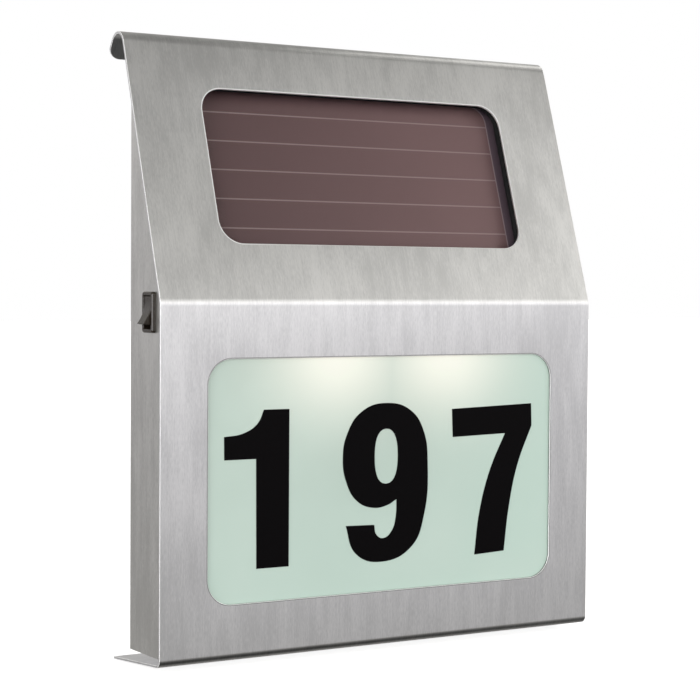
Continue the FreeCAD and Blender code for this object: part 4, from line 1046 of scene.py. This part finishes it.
# %% Cross-recess screws
SCREW_STEEL = moulded("screw_steel", (168, 170, 174), (206, 208, 210), 0.20, 600.0, 0.06, 1.0)
SHANK_RADIUS = 1.45
PAN_HEAD = [(2.35, 0.0), (2.7, 0.12), (2.75, 0.4), (2.7, 0.8), (2.4, 1.25), (1.8, 1.58),
            (1.0, 1.75), (0.0, 1.8)]
RECESS_FOOT = (0.55, 0.8, 0.0006)
RECESS_MOUTH = (1.0, 1.0, 0.0022)


def cross_recess():
    """A driver's tip: two crossed blades, each narrower at the foot of the recess."""
    blades = bmesh.new()
    for half_x, half_y in ((1.55, 0.30), (0.30, 1.55)):
        rings = [[blades.verts.new((x * half_x * share_x / 1000, y * half_y * share_y / 1000, z))
                  for x, y in SQUARE] for share_x, share_y, z in (RECESS_FOOT, RECESS_MOUTH)]
        blades.faces.new(rings[0][::-1])
        blades.faces.new(rings[1])
        join_loops(blades, rings)
    return finished("recess", blades)


def pan_head_screw(shank):
    outline = [(0.0, -shank), (SHANK_RADIUS, -shank), (SHANK_RADIUS, 0.0)] + PAN_HEAD
    blank_screw = new_piece("blank_screw", spun_mesh("pan_head", outline, 32))
    driver = new_piece("recess", cross_recess())
    recess = blank_screw.modifiers.new("recess", "BOOLEAN")
    recess.object = driver
    recess.solver = "EXACT"
    recess.use_self = True
    mesh = evaluated_mesh(blank_screw)
    for helper in (blank_screw, driver):
        bpy.data.objects.remove(helper)
    return mesh


REAR_SIDE, REAR_DEPTH, REAR_HEIGHTS = 83.2, 39.2, (18.31, 119.2, 209.99)
LID_SIDE, LID_DEPTH, LID_HEIGHT = 38.6, 42.0, 146.01
rear_places = [(at(side * REAR_SIDE, REAR_DEPTH, z), 0.0) for z in REAR_HEIGHTS for side in (-1, 1)]
lid_places = [(at(side * LID_SIDE, LID_DEPTH, LID_HEIGHT), 0.0) for side in (-1, 1)]
everywhere("rear_pan_heads", pan_head_screw(9.0), rear_places, "sign", "rear_screws")
everywhere("lid_pan_heads", pan_head_screw(10.0), lid_places, "door", "door_screws")

# %% [markdown]
# Studs are welded to the back of the sheet and carry hexagon nuts, which clamp the walls and
# the inner housing. The thread is a zigzag in the spun profile. The nut is spun too, but its
# radius stops at six flats, so that the chamfered profile cuts its corners back by a cone.

# %% Studs and nuts
STUD_SIDE = 92.5
STUD_HEIGHTS = (19.0, 65.5, 112.0)
STUD_UP_SLOPE = 70.0
NUT_SEAT = 4.5
HALF_FLATS = 2.75
HALF_CORNERS = 2 * HALF_FLATS / math.sqrt(3)
STUD_RADIUS, GROOVE, HALF_PITCH = 1.5, 0.26, 0.25
THREAD = [(STUD_RADIUS - GROOVE * (n % 2), HALF_PITCH * (n + 1)) for n in range(29)]
STUD = [(0.0, 0.0), (STUD_RADIUS, 0.0)] + THREAD + [(1.15, 7.8), (1.1, 8.0), (0.0, 8.0)]
NUT = [(1.56, 0.0), (HALF_FLATS, 0.0), (HALF_CORNERS, 0.35), (HALF_CORNERS, 2.05),
       (HALF_FLATS, 2.4), (1.56, 2.4)]


def at_studs(depth):
    """The places on the stud axes at one depth, three pairs upright and one pair on the slope."""
    upright = [(at(side * STUD_SIDE, depth, z), 0.0) for z in STUD_HEIGHTS for side in (-1, 1)]
    return upright + [(slope_at(side * STUD_SIDE, depth, STUD_UP_SLOPE), LEAN) for side in (-1, 1)]


def hexagonal(radius, angle):
    """A radius that stops at the nut's flats."""
    flat = HALF_FLATS / math.cos((angle + math.pi / 6) % (math.pi / 3) - math.pi / 6)
    return min(radius, flat)


nut_mesh = spun_mesh("hexagon_nut", NUT, 36, hexagonal, ring_shaped=True)
everywhere("threaded_studs", spun_mesh("stud", STUD, 20), at_studs(SHEET), "sign", "cover_studs")
everywhere("hexagon_nuts", nut_mesh, at_studs(NUT_SEAT), "sign", "stud_nuts")

# %% [markdown]
# The remaining pieces keep their CAD shape, because their flat faces and prisms are already
# right, and each gets a finish of its own from the recipe.

# %% Finishes of the remaining pieces
RECIPES = {
    "housing_grey": ((66, 68, 70), (86, 88, 90), 0.40, 900.0, 0.22),
    "white_plastic": ((214, 215, 212), (236, 237, 234), 0.36),
    "black_foam": ((4, 4, 5), (15, 15, 16), 0.80, 900.0, 0.5),
    "grey_foam": ((52, 54, 56), (76, 78, 80), 0.76, 900.0, 0.5),
    "bright_steel": ((176, 178, 182), (206, 208, 210), 0.18, 300.0, 0.05, 1.0),
    "tin_plate": ((190, 190, 186), (214, 214, 210), 0.24, 200.0, 0.05, 1.0),
    "green_board": ((14, 74, 44), (26, 98, 60), 0.34, 260.0, 0.06),
    "white_board": ((206, 208, 200), (228, 230, 224), 0.34, 260.0, 0.05),
    "board_black": ((20, 20, 22), (46, 46, 48), 0.34),
    "clear_lens": ((226, 230, 214), (246, 246, 228), 0.08, 60.0, 0.01),
    "cell_sleeve": ((38, 92, 60), (58, 122, 82), 0.22, 90.0, 0.02),
    "lead_black": ((18, 18, 19), (34, 34, 35), 0.38, 500.0, 0.06),
    "lead_red": ((140, 22, 20), (172, 36, 32), 0.38, 500.0, 0.06),
}
WEARERS = {
    "housing_grey": ("housing", "rear_cover", "battery_door"),
    "white_plastic": ("reflector",),
    "black_foam": ("solar_gasket", "rim_seal"),
    "grey_foam": ("window_gasket", "rear_seal", "door_seal"),
    "bright_steel": ("cover_studs", "stud_nuts", "rear_screws", "door_screws", "board_screws"),
    "tin_plate": ("solar_tabs", "battery_contacts", "switch_terminals"),
    "green_board": ("control_board",),
    "white_board": ("led_board",),
    "board_black": ("battery_tray", "board_parts"),
    "clear_lens": ("leds",),
    "cell_sleeve": ("battery_lower", "battery_upper"),
    "lead_black": ("switch_wires", "solar_wires"),
    "lead_red": ("led_wires", "battery_wires"),
}
dressed = {"front_cover": cover_steel, "left_cheek": cheek_steel, "right_cheek": cheek_steel,
           "number_window": pane.data.materials[0], "solar_glass": solar_plate.data.materials[0],
           "solar_cells": solar_film.data.materials[0],
           "switch_body": GLOSS_BLACK, "switch_rocker": GLOSS_BLACK}
for finish_name, wearers in WEARERS.items():
    finish = moulded(finish_name, *RECIPES[finish_name])
    dressed.update({wearer: finish for wearer in wearers})
for name, node in nodes.items():
    node.data.materials.clear()
    node.data.materials.append(dressed[name])
print(len(dressed), "nodes dressed, missing", sorted(set(nodes) - set(dressed)))

# %% [markdown]
# CAD corners are perfectly sharp, and real ones aren't. The larger pieces that show from the
# sides and the back get a small bevel, after their doubled points are welded, so that each
# moulded or folded edge has a thin line of light.

# %% Soft edges on the CAD pieces
SOFT_EDGES = {"rear_cover": 0.45, "battery_door": 0.35, "housing": 0.30, "left_cheek": 0.14,
              "right_cheek": 0.14, "reflector": 0.15, "solar_gasket": 0.12}
for name, width in SOFT_EDGES.items():
    soften(nodes[name], width, 35, weld=True)
print(len(SOFT_EDGES), "pieces with soft edges")
